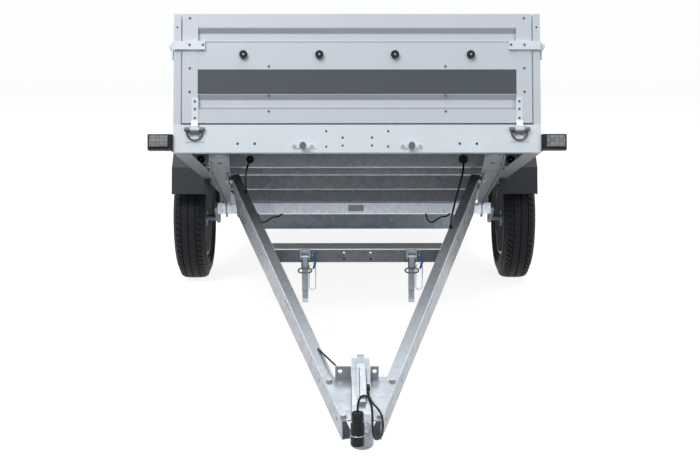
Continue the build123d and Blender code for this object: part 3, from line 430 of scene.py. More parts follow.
def ply(name):
    """Dark film-faced ply with a pressed mesh pattern."""
    material, tree, shader, where = blank(name, 0.55, coat=0.1)
    mesh = add(tree, "ShaderNodeTexBrick", offset=0.5, inputs={
        "Vector": where, "Scale": 160.0, "Color1": (1, 1, 1, 1), "Color2": (0.9, 0.9, 0.9, 1),
        "Mortar": (0, 0, 0, 1), "Mortar Size": 0.03})
    stain = placed(tree, "cloudy_stain", Vector=where, Scale=4.0, Cover=0.4)
    tree.links.new(mixed(tree, stain.outputs["Mask"], PLY_BLACK, PLY_BROWN), shader.inputs["Base Color"])
    bumped(tree, shader, mesh.outputs["Color"], 0.3, 0.0003)
    return material


def lens(name, colour, roughness, ribs=55.0):
    """Ribbed lamp plastic: a brick pattern of lighter and darker prisms with darker lines between them."""
    material, tree, shader, where = blank(name, roughness, coat=0.15, gloss=0.35)
    sides = add(tree, "ShaderNodeMapping", inputs={"Vector": where, "Rotation": (math.pi / 2, 0.0, 0.0)})
    prisms = add(tree, "ShaderNodeTexBrick", offset=0.0, inputs={
        "Vector": sides.outputs[0], "Scale": ribs, "Color1": shade(colour, 1.25), "Color2": shade(colour, 0.7),
        "Mortar": shade(colour, 0.3), "Mortar Size": 0.035, "Brick Width": 0.9, "Row Height": 0.7})
    tree.links.new(prisms.outputs["Color"], shader.inputs["Base Color"])
    bumped(tree, shader, prisms.outputs["Fac"], 0.2, 0.0008)
    return material


# Painted band on the front board, in the box's own frame: height range and half width, how far in front of the face
# the paint may lie, and how far behind it.
BAND_LOW, BAND_HIGH = 0.221, 0.314
BAND_HALF = 0.5985
BAND_DEPTH = 0.003
PAINT_DEPTH = 0.0005
# How much paler than the paint its stains are, and the tone of the painted shade in the grooves.
BAND_STAIN, GROOVE_SHADE_TONE = 1.15, 1.6
# Painted shade along the pressed grooves, on their upper slopes and along their lower edges: height range and how
# dark it is.
GROOVE_PAINTED_SHADE = ((0.4505, 0.4700, 0.42), (0.4150, 0.4225, 0.58), (0.1985, 0.2180, 0.42), (0.1630, 0.1715, 0.58))
# Colours that a user would leave alone: zinc under the bed, the rails' zinc and the small parts.
# Zinc under the bed and on the axle: paler and bluer than the frame's, painted light in the shade there.
UNDER_ZINC = (0.80, 0.89, 1.0)
# The rails' zinc: paler than the frame's, painted light.
LIT_RAIL_ZINC = (0.76, 0.82, 0.885)
WIRE_ZINC = (0.62, 0.63, 0.64)
DARK_ZINC = (0.16, 0.165, 0.17)
RIM_GREY = (0.42, 0.43, 0.44)
GUARD_BLACK = (0.042, 0.047, 0.055)
CLEAR_LENS = (0.25, 0.27, 0.29)
RED_LENS = (0.55, 0.012, 0.010)
STRAP_BLUE = (0.03, 0.13, 0.42)
PLY_BROWN, PLY_BLACK = (0.075, 0.045, 0.03, 1.0), (0.03, 0.02, 0.016, 1.0)
# Share of metal in the coated sheet's colour.
SHEET_METAL = 0.12
# Streak directions: how much finer a streak is along X, Y and Z.
ALONG_BARS, ALONG_RAILS, ALONG_MEMBERS = (6.0, 0.8, 6.0), (0.6, 5.0, 5.0), (0.5, 6.0, 6.0)
ALONG_SHEET, EVEN = (1.0, 6.0, 6.0), (1.0, 1.0, 1.0)


def within(tree, socket, low, high):
    """1 where a value lies between two others, otherwise 0, as a socket."""
    away = add(tree, "ShaderNodeMath", operation="SUBTRACT", inputs={0: socket, 1: (low + high) / 2})
    size = add(tree, "ShaderNodeMath", operation="ABSOLUTE", inputs={0: away.outputs[0]})
    inside = add(tree, "ShaderNodeMath", operation="LESS_THAN", inputs={0: size.outputs[0], 1: (high - low) / 2})
    return inside.outputs[0]


def slate_band(name, sheet, slate):
    """Front sheet: coated steel, with a plain slate band painted on its middle face between the caps, and painted
    shade along its pressed grooves.
    """
    material = sheet.copy()
    material.name = name
    tree = material.node_tree
    shader = next(n for n in tree.nodes if n.type == "BSDF_PRINCIPLED")
    where = next(n for n in tree.nodes if n.type == "TEX_COORD").outputs["Object"]
    base = shader.inputs["Base Color"].links[0].from_socket
    local = add(tree, "ShaderNodeVectorMath", operation="SUBTRACT", inputs={0: where, 1: tuple(BED_ORIGIN)})
    turn = add(tree, "ShaderNodeVectorRotate", rotation_type="X_AXIS",
               inputs={"Vector": local.outputs[0], "Angle": BED_TILT})
    parts = add(tree, "ShaderNodeSeparateXYZ", inputs={"Vector": turn.outputs[0]})
    tall = within(tree, parts.outputs["Z"], BAND_LOW, BAND_HIGH)
    wide = within(tree, parts.outputs["X"], -BAND_HALF, BAND_HALF)
    front = within(tree, parts.outputs["Y"], -BAND_DEPTH, PAINT_DEPTH)
    both = add(tree, "ShaderNodeMath", operation="MULTIPLY", inputs={0: tall, 1: wide})
    mask = add(tree, "ShaderNodeMath", operation="MULTIPLY", inputs={0: both.outputs[0], 1: front})
    stain = next(n for n in tree.nodes if n.type == "GROUP" and n.node_tree.name == "cloudy_stain")
    paint_colour = mixed(tree, stain.outputs["Mask"], shade(slate, 1.0), shade(slate, BAND_STAIN))
    # Painted shade along the pressed grooves, across the sheet's whole width.
    for low, high, depth in GROOVE_PAINTED_SHADE:
        line = add(tree, "ShaderNodeMath", operation="MULTIPLY",
                   inputs={0: within(tree, parts.outputs["Z"], low, high), 1: wide})
        base = mixed(tree, ramped(tree, line.outputs[0], 0, 1, 0.0, depth), base, shade(slate, GROOVE_SHADE_TONE))
    tree.links.new(mixed(tree, mask.outputs[0], base, paint_colour), shader.inputs["Base Color"])
    metal = add(tree, "ShaderNodeMath", operation="MULTIPLY_ADD",
                inputs={0: mask.outputs[0], 1: -SHEET_METAL, 2: SHEET_METAL})
    tree.links.new(metal.outputs[0], shader.inputs["Metallic"])
    return material


def make_materials(finish):
    """Every finish by name; each of the record's slots has one of its own name."""
    spangle_group()
    streak_group()
    stain_group()
    steel, sheet = tuple(finish.steel), tuple(finish.sheet)
    # Zinc: colour, how dark its darkest patches are, patches per metre, streaks, their scale, metal, roughness.
    made = {
        # Crossbar, ring and drawbar finishes: darker copies of it, painted shade; the drawbar's also has more metal.
        # Rail, under-bed and axle finishes: paler copies of the galvanised zinc, painted light.
        "galvanised": zinc("galvanised", steel, 0.80, 55.0, ALONG_BARS, 5.0, 0.2, 0.5),
        "bright_rail": zinc("bright_rail", LIT_RAIL_ZINC, 0.93, 70.0, ALONG_RAILS, 4.0, 0.15, 0.45, bloom=0.3, bump=0.05),
        "shaded_zinc": zinc("shaded_zinc", shade(steel, 0.40), 0.70, 45.0, ALONG_RAILS, 5.0, 0.25, 0.42, bloom=0.35),
        "under_zinc": zinc("under_zinc", UNDER_ZINC, 0.62, 40.0, ALONG_MEMBERS, 5.0, 0.25, 0.40, bloom=0.45),
        "drawbar_zinc": zinc("drawbar_zinc", shade(steel, 0.85), 0.78, 45.0, ALONG_BARS, 5.0, 0.55, 0.32, bump=0.08),
        "axle_zinc": zinc("axle_zinc", UNDER_ZINC, 0.88, 60.0, ALONG_MEMBERS, 5.0, 0.9, 0.30),
        "ring_zinc": zinc("ring_zinc", shade(steel, 0.22), 0.80, 240.0, EVEN, 30.0, 0.4, 0.35),
        "aluzinc": zinc("aluzinc", sheet, 0.94, 120.0, ALONG_SHEET, 4.0, SHEET_METAL, 0.42, bloom=0.15, bump=0.05),
        "zinc_plate": zinc("zinc_plate", shade(steel, 0.98), 0.78, 240.0, EVEN, 30.0, 0.5, 0.36),
        "rim_paint": moulded("rim_paint", RIM_GREY, 0.35, 0.03, coat=0.4, bump=0.05),
        "tyre_rubber": moulded("tyre_rubber", finish.rubber, 0.6, 0.005, bump=0.3, gloss=0.25),
        "black_plastic": moulded("black_plastic", finish.plastic, 0.45, 0.004, gloss=0.22),
        "guard_plastic": moulded("guard_plastic", GUARD_BLACK, 0.5, 0.006, gloss=0.25),
        "clear_lens": lens("clear_lens", CLEAR_LENS, 0.15),
        "red_lens": lens("red_lens", RED_LENS, 0.2, ribs=40.0),
        "ply": ply("ply"),
        "blue_strap": webbing("blue_strap", STRAP_BLUE),
        "steel_wire": zinc("steel_wire", WIRE_ZINC, 0.85, 300.0, EVEN, 40.0, 0.8, 0.28),
        "dark_zinc": zinc("dark_zinc", DARK_ZINC, 0.7, 240.0, EVEN, 30.0, 0.4, 0.45),
    }
    made["front_sheet"] = slate_band("front_sheet", made["aluzinc"], finish.slate)
    return made


# ---------------------------------------------------------------- geometry node trees
def node_tree(name, sockets):
    """An empty geometry tree with a mesh in, a mesh out and named inputs: (name, kind, default)."""
    tree = bpy.data.node_groups.new(name, "GeometryNodeTree")
    tree.interface.new_socket("Geometry", in_out="INPUT", socket_type="NodeSocketGeometry")
    for label, kind, default in sockets:
        socket = tree.interface.new_socket(label, in_out="INPUT", socket_type=kind)
        if default is not None:
            socket.default_value = default
    tree.interface.new_socket("Geometry", in_out="OUTPUT", socket_type="NodeSocketGeometry")
    return tree, tree.nodes.new("NodeGroupInput"), tree.nodes.new("NodeGroupOutput")


def finished(tree, source, entry, leave):
    """Ends a tree: instances are realized and given the tree's material."""
    real = tree.nodes.new("GeometryNodeRealizeInstances")
    coat = tree.nodes.new("GeometryNodeSetMaterial")
    tree.links.new(source, real.inputs[0])
    tree.links.new(real.outputs[0], coat.inputs["Geometry"])
    tree.links.new(entry.outputs["Material"], coat.inputs["Material"])
    tree.links.new(coat.outputs[0], leave.inputs[0])


def ring_tree():
    """Repeats one segment of tread evenly about the X axis."""
    tree, entry, leave = node_tree("tread_ring", [("Count", "NodeSocketInt", 60),
                                                  ("Material", "NodeSocketMaterial", None)])
    points = tree.nodes.new("GeometryNodePoints")
    tree.links.new(entry.outputs["Count"], points.inputs["Count"])
    index = tree.nodes.new("GeometryNodeInputIndex")
    share = add(tree, "ShaderNodeMath", operation="DIVIDE")
    tree.links.new(index.outputs[0], share.inputs[0])
    tree.links.new(entry.outputs["Count"], share.inputs[1])
    angle = add(tree, "ShaderNodeMath", operation="MULTIPLY", inputs={0: share.outputs[0], 1: 2 * math.pi})
    vector = tree.nodes.new("ShaderNodeCombineXYZ")
    tree.links.new(angle.outputs[0], vector.inputs["X"])
    copies = tree.nodes.new("GeometryNodeInstanceOnPoints")
    tree.links.new(points.outputs[0], copies.inputs["Points"])
    tree.links.new(entry.outputs["Geometry"], copies.inputs["Instance"])
    tree.links.new(vector.outputs[0], copies.inputs["Rotation"])
    finished(tree, copies.outputs[0], entry, leave)
    return tree


WASHER_SIDES = 20


def fixing_tree():
    """A headed fixing with its washer on every point, along the point's own direction."""
    tree, entry, leave = node_tree("headed_fixings", [
        ("Sides", "NodeSocketInt", 6), ("Head Radius", "NodeSocketFloat", 0.008),
        ("Head Height", "NodeSocketFloat", 0.006), ("Washer Radius", "NodeSocketFloat", 0.011),
        ("Washer Height", "NodeSocketFloat", 0.0015), ("Material", "NodeSocketMaterial", None)])
    parts = tree.nodes.new("GeometryNodeJoinGeometry")
    # Each part, and the input that says how high it starts.
    heights = {"Washer": None, "Head": "Washer Height"}
    for part, under in heights.items():
        solid = tree.nodes.new("GeometryNodeMeshCylinder")
        tree.links.new(entry.outputs[part + " Radius"], solid.inputs["Radius"])
        tree.links.new(entry.outputs[part + " Height"], solid.inputs["Depth"])
        if part == "Head":
            tree.links.new(entry.outputs["Sides"], solid.inputs["Vertices"])
        else:
            solid.inputs["Vertices"].default_value = WASHER_SIDES
        half = add(tree, "ShaderNodeMath", operation="MULTIPLY", inputs={1: 0.5})
        tree.links.new(entry.outputs[part + " Height"], half.inputs[0])
        raise_by = add(tree, "ShaderNodeMath", operation="ADD", inputs={0: half.outputs[0], 1: 0.0})
        if under:
            tree.links.new(entry.outputs[under], raise_by.inputs[1])
        vector = tree.nodes.new("ShaderNodeCombineXYZ")
        tree.links.new(raise_by.outputs[0], vector.inputs["Z"])
        move = tree.nodes.new("GeometryNodeTransform")
        tree.links.new(solid.outputs["Mesh"], move.inputs["Geometry"])
        tree.links.new(vector.outputs[0], move.inputs["Translation"])
        tree.links.new(move.outputs[0], parts.inputs[0])
    way = add(tree, "GeometryNodeInputNamedAttribute", data_type="FLOAT_VECTOR")
    way.inputs["Name"].default_value = "way"
    turn = add(tree, "FunctionNodeAlignRotationToVector", axis="Z")
    tree.links.new(way.outputs["Attribute"], turn.inputs["Vector"])
    copies = tree.nodes.new("GeometryNodeInstanceOnPoints")
    tree.links.new(entry.outputs["Geometry"], copies.inputs["Points"])
    tree.links.new(parts.outputs[0], copies.inputs["Instance"])
    tree.links.new(turn.outputs[0], copies.inputs["Rotation"])
    finished(tree, copies.outputs[0], entry, leave)
    return tree


def grown(obj, tree, values):
    """Runs a geometry tree on an object and keeps the result as a plain mesh."""
    modifier = obj.modifiers.new(tree.name, "NODES")
    modifier.node_group = tree
    for item in tree.interface.items_tree:
        if item.in_out == "INPUT" and item.name in values:
            modifier[item.identifier] = values[item.name]
    return plain_mesh(obj)


# ---------------------------------------------------------------- tyres and wheels
# Steps round a tyre, across half its tread and across one rib.
TYRE_STEPS, CROWN_STEPS, RIB_STEPS = 96, 6, 3
# Radius at the rim and at the tread, half the tread's width and the drop at its edges.
RIM_SEAT = 0.168
TYRE_RADIUS = 0.289
TREAD_HALF = 0.056
SHOULDER_DROP = 0.006
# Outer half of the sidewall from the bead to the shoulder: distance from the tyre's middle, radius.
SIDEWALL = ((-0.0545, RIM_SEAT), (-0.0545, 0.1775), (-0.061, 0.188), (-0.066, 0.196), (-0.0695, 0.208),
            (-0.0705, 0.2085), (-0.0705, 0.212), (-0.0725, 0.214), (-0.0730, 0.232), (-0.0722, 0.246),
            (-0.0708, 0.2465), (-0.0708, 0.249), (-0.0694, 0.250), (-0.0655, 0.262), (-0.0605, 0.2705))
# Inside of the tyre, from bead to crown.
CAVITY = ((0.044, RIM_SEAT), (0.060, 0.215), (0.058, 0.245), (0.043, 0.268), (0.0, 0.272))
# Tread ribs: inner and outer edge, share of the pitch that each fills, skew across it.
TREAD_RIBS = ((-0.0580, -0.0350, 0.80, 0.010), (-0.0300, -0.0035, 1.0, 0.0), (0.0035, 0.0300, 1.0, 0.0),
              (0.0350, 0.0580, 0.80, -0.010))
# Wheel nuts: how many, radius of their circle, and distance of their seat from the tyre's middle.
NUT_COUNT = 4
NUT_CIRCLE = 0.056
HUB_FACE = 0.016
# Tread block: steps along it, how far its foot is sunk in the carcass, the width over which it leans by its skew,
# and where its outer edge starts to drop and by how much.
BLOCK_STEPS, BLOCK_SUNK = 2, 0.0025
SKEW_SPAN = 0.02
EDGE_START, EDGE_DROP = 0.053, 0.0025
# Valve: place from the wheel's centre (out, up), lean, and its outline (radius, height).
VALVE_OUT, VALVE_UP, VALVE_LEAN = 0.030, -0.150, 0.15
VALVE_STEM = ((0.0, 0.0), (0.0055, 0.0), (0.0050, 0.014), (0.0035, 0.018), (0.0035, 0.030), (0.0, 0.030))
# Grease cap over the hub: distance from the tyre's middle, radius; and its sides.
GREASE_CAP = ((0.040, 0.0), (0.040, 0.0285), (0.047, 0.0295), (0.052, 0.0280), (0.064, 0.0265), (0.069, 0.0220),
              (0.0715, 0.0130), (0.0720, 0.0))
CAP_SIDES = 32


def crown_radius(x):
    """Height of the tread surface across the tyre, falling towards the shoulders."""
    return TYRE_RADIUS - SHOULDER_DROP * (abs(x) / TREAD_HALF) ** 3


def tyre_section(tread_depth):
    """Closed (x, radius) outline of the carcass below its tread."""
    places = [TREAD_HALF * i / CROWN_STEPS for i in range(-CROWN_STEPS, CROWN_STEPS + 1)]
    floor = [(x, crown_radius(x) - tread_depth) for x in places]
    wall = list(SIDEWALL)
    outline = wall + floor + [(-x, r) for x, r in reversed(wall)]
    return outline + list(CAVITY) + [(-x, r) for x, r in reversed(CAVITY[:-1])]


def tread_segment(pitches, tread_depth, sipe):
    """One pitch of tread: two centre ribs with short sipes and two shoulder blocks."""
    pitch = 2 * math.pi / pitches
    cut = sipe / TYRE_RADIUS
    vertices, faces = [], []
    for x0, x1, share, skew in TREAD_RIBS:
        across = [x0 + (x1 - x0) * i / RIB_STEPS for i in range(RIB_STEPS + 1)]
        runs = [(0.0, pitch * share)] if share < 1.0 else [(0.0, pitch / 2 - cut), (pitch / 2, pitch)]
        for start, end in runs:
            add_block(vertices, faces, across, start, end, skew, tread_depth)
    return vertices, faces


def add_block(vertices, faces, across, start, end, skew, tread_depth):
    """Closed tread block between two angles, its edges leaning by the skew."""
    base, steps, wide = len(vertices), BLOCK_STEPS, len(across)
    for i in range(steps + 1):
        for x in across:
            lean = skew * (abs(x) - abs(across[0])) / TYRE_RADIUS / SKEW_SPAN
            angle = start + (end - start) * i / steps + lean
            top = crown_radius(x) - (EDGE_DROP if abs(x) > EDGE_START else 0.0)
            for r in (top - tread_depth - BLOCK_SUNK, top):
                vertices.append(Vector((x, r * math.sin(angle), r * math.cos(angle))))

    def at(i, j, high):
        return base + (i * wide + j) * 2 + high
    for i in range(steps):
        for j in range(wide - 1):
            faces.append((at(i, j, 1), at(i + 1, j, 1), at(i + 1, j + 1, 1), at(i, j + 1, 1)))
            faces.append((at(i, j, 0), at(i, j + 1, 0), at(i + 1, j + 1, 0), at(i + 1, j, 0)))
        for j in (0, wide - 1):
            faces.append((at(i, j, 0), at(i + 1, j, 0), at(i + 1, j, 1), at(i, j, 1)))
    for i in (0, steps):
        for j in range(wide - 1):
            faces.append((at(i, j, 0), at(i, j + 1, 0), at(i, j + 1, 1), at(i, j, 1)))


def make_tyres(materials, tyre):
    """Grooved and siped tyres that stand for the plain ones."""
    tree = ring_tree()
    for side in SIDES:
        low, high = corners("tyre_" + side)
        centre = (low + high) / 2
        vertices, faces = revolved(tyre_section(tyre.tread_depth), TYRE_STEPS, Vector((0, 0, 0)))
        carcass = new_object("tyre_carcass_" + side, vertices, faces)
        facing_out(carcass)
        tread = new_object("tyre_tread_" + side, *tread_segment(tyre.pitches, tyre.tread_depth, tyre.sipe))
        facing_out(tread)
        tread = grown(tread, tree, {"Count": tyre.pitches, "Material": materials["tyre_rubber"]})
        for piece in (carcass, tread):
            piece.data.transform(Matrix.Translation(centre))
            seat(piece, "wheel_" + side, materials["tyre_rubber"])
        carcass.data.shade_smooth()
        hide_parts("tyre_" + side)


def make_hubs(materials):
    """Wheel nuts, grease cap and valve of each wheel."""
    for side, sign in SIDES.items():
        low, high = corners("tyre_" + side)
        centre = (low + high) / 2
        spots = []
        for i in range(NUT_COUNT):
            angle = 2 * math.pi * (i + 0.5) / NUT_COUNT
            spots.append((centre + Vector((sign * HUB_FACE, NUT_CIRCLE * math.sin(angle),
                                           NUT_CIRCLE * math.cos(angle))), Vector((sign, 0, 0))))
        fixings("wheel_nuts_" + side, "wheel_" + side, spots, materials["zinc_plate"], WHEEL_NUT)
        outline = [(sign * x, r) for x, r in GREASE_CAP]
        cap = new_object("grease_cap_" + side, *revolved(outline, CAP_SIDES, centre))
        facing_out(cap)
        seat(cap, "wheel_" + side, materials["zinc_plate"])
        foot = centre + Vector((sign * VALVE_OUT, 0.0, VALVE_UP))
        stem = lathe("tyre_valve_" + side, VALVE_STEM, foot, Vector((sign, 0, VALVE_LEAN)))
        seat(stem, "wheel_" + side, materials["black_plastic"])


# ---------------------------------------------------------------- bolts, rivets and screws
def headed(sides, head_radius, head_height, washer_radius, washer_height):
    """Sizes of one kind of fixing, by the tree's input names."""
    return {"Sides": sides, "Head Radius": head_radius, "Head Height": head_height,
            "Washer Radius": washer_radius, "Washer Height": washer_height}


# Sides of the head, its radius and height, and the washer's radius and height.
BOLT = headed(6, 0.0075, 0.0055, 0.0110, 0.0015)
NOSE_BOLT = headed(6, 0.0095, 0.0065, 0.0130, 0.0020)
WHEEL_NUT = headed(6, 0.0105, 0.0140, 0.0125, 0.0015)
RIVET = headed(16, 0.0028, 0.0018, 0.0048, 0.0012)
KNOB_RIVET = headed(16, 0.0026, 0.0012, 0.0038, 0.0010)
HOLE = headed(16, 0.0034, 0.0002, 0.0036, 0.0003)
LOBE = headed(16, 0.0045, 0.0014, 0.0068, 0.0010)
GROMMET = headed(24, 0.0150, 0.0035, 0.0195, 0.0020)


def fixings(name, body, spots, material, values):
    """One mesh of like fixings on a body; each spot is a (place, direction) pair."""
    obj = new_object(name, [place for place, _ in spots], [])
    ways = obj.data.attributes.new("way", "FLOAT_VECTOR", "POINT")
    ways.data.foreach_set("vector", [c for _, way in spots for c in way])
    obj = grown(obj, bpy.data.node_groups["headed_fixings"], dict(values, Material=material))
    return seat(obj, body)


def both_sides(rows):
    """Each row with its mirror image across the centre plane."""
    return [row for x, *rest in rows for row in ((x, *rest), (-x, *rest))]


BOX_LENGTH = 2.660
# Board fixings, in the box's own frame: distance from the centre, height above the rails' underside.
CAP_RIVETS = ((0.6285, 0.5085), (0.6285, 0.318), (0.6285, 0.229))
PANEL_RIVETS = ((0.332, 0.3255), (0.332, 0.2150), (0.332, 0.1550))
STRAP_SCREWS = ((0.608, 0.1925), (0.608, 0.164), (0.608, 0.1295))
KNOBS = ((0.142, 0.369), (0.427, 0.369))
LATCH_RIVETS = ((0.5785, 0.4055), (0.6285, 0.4055))
POST_HOLES = ((0.6755, 0.474),)
# How far each kind of fixing stands out of the boards' faces.
CAP_OUT, STRAP_OUT, LATCH_OUT, KNOB_OUT, RAIL_OUT = 0.0015, 0.0045, 0.0105, 0.013, 0.003
# Rail fixings: distance from the centre, height.
KEEPER_RIVETS = ((0.1700, 0.023), (0.2360, 0.023))
RING_SCREWS = ((0.5870, 0.0600), (0.6290, 0.0600))
# Rivets at the box's corners (their distance from its ends, and heights) and above the mudguards.
POST_PLACE = 0.015
POST_RIVETS = (0.135, 0.235, 0.355, 0.480)
GUARD_RIVETS, GUARD_HEIGHT = (1.02, 1.20, 1.40, 1.58), 0.030
# Bolts under the braces, through the rails: distance from the centre, distance behind the front face; and how far
# they stand below the box.
BRACE_BOLTS = ((0.498, 0.062), (0.548, 0.062), (0.545, 0.300), (0.585, 0.300))
BRACE_DROP = 0.004
# Screws of the axle's blank plate: distance from the centre, height; and how far behind the front face they are.
PLATE_SCREWS = ((-0.0225, -0.0875), (0.0385, -0.0875), (-0.0225, -0.1165), (0.0385, -0.1165))
PLATE_PLACE = 1.181
# Bolts of the nose plate: distance from the centre, distance ahead of the pivot; and their height.
NOSE_BOLTS = ((0.097, -1.611), (0.054, -1.798))
NOSE_TOP = 0.021


def board_spots(rows, depth, tail=False):
    """Places on the outer face of the front board, or the tail board turned about the box's middle."""
    turn = turn_of(BED_FRAME)
    way = turn @ Vector((0, 1 if tail else -1, 0))
    return [(on_bed(x, BOX_LENGTH + depth if tail else -depth, z), way) for x, z in both_sides(rows)]


def make_fixings(materials):
    """Bolt heads, rivets and screws where the plain solids meet."""
    fixing_tree()
    steel, dark = materials["zinc_plate"], materials["dark_zinc"]
    turn = turn_of(BED_FRAME)
    front, down = turn @ Vector((0, -1, 0)), turn @ Vector((0, 0, -1))
    for end, body, tail in (("front", FRONT_BOARD, False), ("tail", TAIL_BOARD, True)):
        spots = board_spots(CAP_RIVETS, CAP_OUT, tail) + board_spots(PANEL_RIVETS, 0.0, tail)
        fixings(end + "_rivets", body, spots, dark, RIVET)
        fixings(end + "_strap_screws", body, board_spots(STRAP_SCREWS, STRAP_OUT, tail), dark, RIVET)
        fixings(end + "_latch_rivets", body, board_spots(LATCH_RIVETS, LATCH_OUT, tail), dark, RIVET)
        # Holes in the corner posts: thin black discs, painted shade inside the holes.
        fixings(end + "_post_holes", BED, board_spots(POST_HOLES, 0.0, tail), materials["black_plastic"], HOLE)
        fixings(end + "_knob_rivets", body, board_spots(KNOBS, KNOB_OUT, tail), steel, KNOB_RIVET)
        fixings(end + "_ring_screws", BED, board_spots(RING_SCREWS, RAIL_OUT, tail), dark, RIVET)
    fixings("keeper_rivets", BED, board_spots(KEEPER_RIVETS, RAIL_OUT), steel, LOBE)
    fixings("brace_bolts", BED, [(on_bed(x, y, -BRACE_DROP), down) for x, y in both_sides(BRACE_BOLTS)], steel,
            BOLT)
    fixings("plate_screws", BED, [(on_bed(x, PLATE_PLACE, z), front) for x, z in PLATE_SCREWS], steel, RIVET)
    sides = []
    for sign in SIDES.values():
        out = Vector((sign, 0, 0))
        for y in (POST_PLACE, BOX_LENGTH - POST_PLACE):
            sides += [(on_bed(sign * HALF_WIDTH, y, z), out) for z in POST_RIVETS]
        sides += [(on_bed(sign * HALF_WIDTH, y, GUARD_HEIGHT), out) for y in GUARD_RIVETS]
    fixings("post_rivets", BED, sides, steel, RIVET)
    top = turn_of(TOW_FRAME) @ Vector((0, 0, 1))
    fixings("nose_plate_bolts", DRAWBAR, [(on_bar(x, y, NOSE_TOP), top) for x, y in both_sides(NOSE_BOLTS)], steel,
            NOSE_BOLT)


# ---------------------------------------------------------------- trim on the rail, the drawbar and the coupling
# How far the lashing rings are pulled up, along the box.
RING_LIFT = 0.013
# Board hinges: distance of the barrels from the centre, out of the face and above the underside; half a barrel's
# length, and the outline (radius, height) of the cap on each end.
HINGE_PLACE, HINGE_OUT, HINGE_HEIGHT, HINGE_KNUCKLE = 0.608, 0.010, 0.086, 0.017
HINGE_CAP = ((0.0, 0.0), (0.0078, 0.0), (0.0078, 0.0205), (0.0060, 0.0215), (0.0, 0.0215))
# Tongue on each keeper, a dark sheet of painted shade laid over it: distance across and height from the keeper's
# centre, and its front and rear face.
KEEPER_PLACE = 0.203
SPADE = ((-0.008, 0.010), (0.008, 0.010), (0.013, 0.020), (0.011, 0.030), (0.0045, 0.0365), (-0.0045, 0.0365),
         (-0.011, 0.030), (-0.013, 0.020))
SPADE_FRONT, SPADE_REAR = -0.0295, -0.0275
# How far the right cable's flange stands out of the middle of its grommet.
FLANGE_OUT = 0.004
# Toggle latches: how far the bails hang down, the handle's hooked tip (Y, Z) from the latch's lowest corner and
# half its width, and the wires from the roller to the bail.
BAIL_DROP = 0.026
HANDLE_TIP = ((0.020, 0.020), (0.012, 0.020), (0.008, -0.030), (0.002, -0.040), (0.006, -0.043), (0.018, -0.036))
HANDLE_HALF = 0.011
LINK_PLACE, LINK_FRONT, LINK_FOOT, LINK_LENGTH, LINK_RADIUS = 0.012, 0.004, 0.088, 0.040, 0.0022
# Painted highlight along the crossbar's top front edge: radius, half its length, distance along the bars and height.
EDGE_RADIUS, EDGE_HALF, EDGE_FRONT, EDGE_TOP = 0.0024, 0.315, -0.6955, 0.0145
# Painted highlight along the fold at the outer top edge of each bar: distance across, along, height.
FOLD_REAR, FOLD_FRONT, FOLD_RADIUS = (0.5200, -0.050, 0.0148), (0.0595, -1.806, 0.0148), 0.0016
# Coupling lever, along the bars and in height: the ends of its top, the cap pressed along it (outline, left and right
# edge) and the dark lines of painted shade beside the cap.
LEVER_REAR, LEVER_FRONT = (-1.604, 0.0650), (-1.757, 0.0595)
LEVER_CAP = (LEVER_REAR, LEVER_FRONT, (-1.761, 0.0625), (-1.757, 0.0655), (-1.604, 0.0710))
CAP_LEFT, CAP_RIGHT = -0.0040, 0.0140
LEVER_SHADE_LINES, LEVER_SHADE_RADIUS = {"left": -0.0050, "right": 0.0150}, 0.0017
# Dark lines of painted shade where the coupling's body meets the nose plate: distance across, and the ends along the
# bars.
SHADE_LINE_ACROSS, SHADE_LINE_REAR, SHADE_LINE_FRONT, SHADE_LINE_RADIUS = 0.0287, (-1.588, 0.0225), (-1.800, 0.0225), 0.0014


def shifted_copy(node, name, body, shift, material):
    """A copy of a CAD node's mesh, moved, that stands for the node."""
    mesh = frame["nodes"][node].data.copy()
    obj = bpy.data.objects.new(name, mesh)
    bpy.context.scene.collection.objects.link(obj)
    mesh.transform(Matrix.Translation(shift))
    seat(obj, body, material)
    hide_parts(node)


def flat_piece(name, outline, start, end, body, material, turn=None):
    """A prism on a body, carried out of its own frame where one is given."""
    obj = new_object(name, *prism(outline, start, end))
    if turn is not None:
        obj.data.transform(turn)
    facing_out(obj)
    seat(obj, body, material)


def wire(name, start, end, radius, material, slot="zinc_plate"):
    """A straight wire on the drawbar."""
    seat(straight(name, start, end, radius), DRAWBAR, material)


def make_rail_trim(materials):
    """Lashing rings in a darker zinc of painted shade, the right cable's flange, dark sheets of painted shade on the
    keepers' tongues and the hinges' dark caps.
    """
    bed_turn = turn_of(BED_FRAME)
    # The raised rings take the ring zinc, a darker copy of the frame's zinc as painted shade.
    shifted_copy("lashing_rings", "raised_rings", BED, bed_turn @ Vector((0, 0, RING_LIFT)), materials["ring_zinc"])
    front = bed_turn @ Vector((0, -1, 0))
    low, high = corners("grommets")
    place = Vector((UNDER_ROUTES["right"][0].x, (low.y + high.y) / 2, (low.z + high.z) / 2)) + front * FLANGE_OUT
    fixings("grommet_flange", BED, [(place, front)], materials["guard_plastic"], GROMMET)
    # The tongues' outlines run across the box, so X and Y change places.
    swap = BED_FRAME @ Matrix(((0, 1, 0, 0), (1, 0, 0, 0), (0, 0, 1, 0), (0, 0, 0, 1)))
    dark = materials["dark_zinc"]
    for side, sign in SIDES.items():
        # Dark sheet of painted shade over each keeper's tongue.
        outline = [(sign * KEEPER_PLACE + x, z) for x, z in SPADE]
        flat_piece("keeper_spade_" + side, outline, SPADE_FRONT, SPADE_REAR, BED, dark, swap)
        for end, y in (("front", -HINGE_OUT), ("tail", BOX_LENGTH + HINGE_OUT)):
            for number, way in enumerate((-1, 1)):
                foot = on_bed(sign * HINGE_PLACE + way * HINGE_KNUCKLE, y, HINGE_HEIGHT)
                pin = lathe(f"{end}_hinge_cap_{side}_{number}", HINGE_CAP, foot, Vector((way, 0, 0)))
                seat(pin, BED, dark)


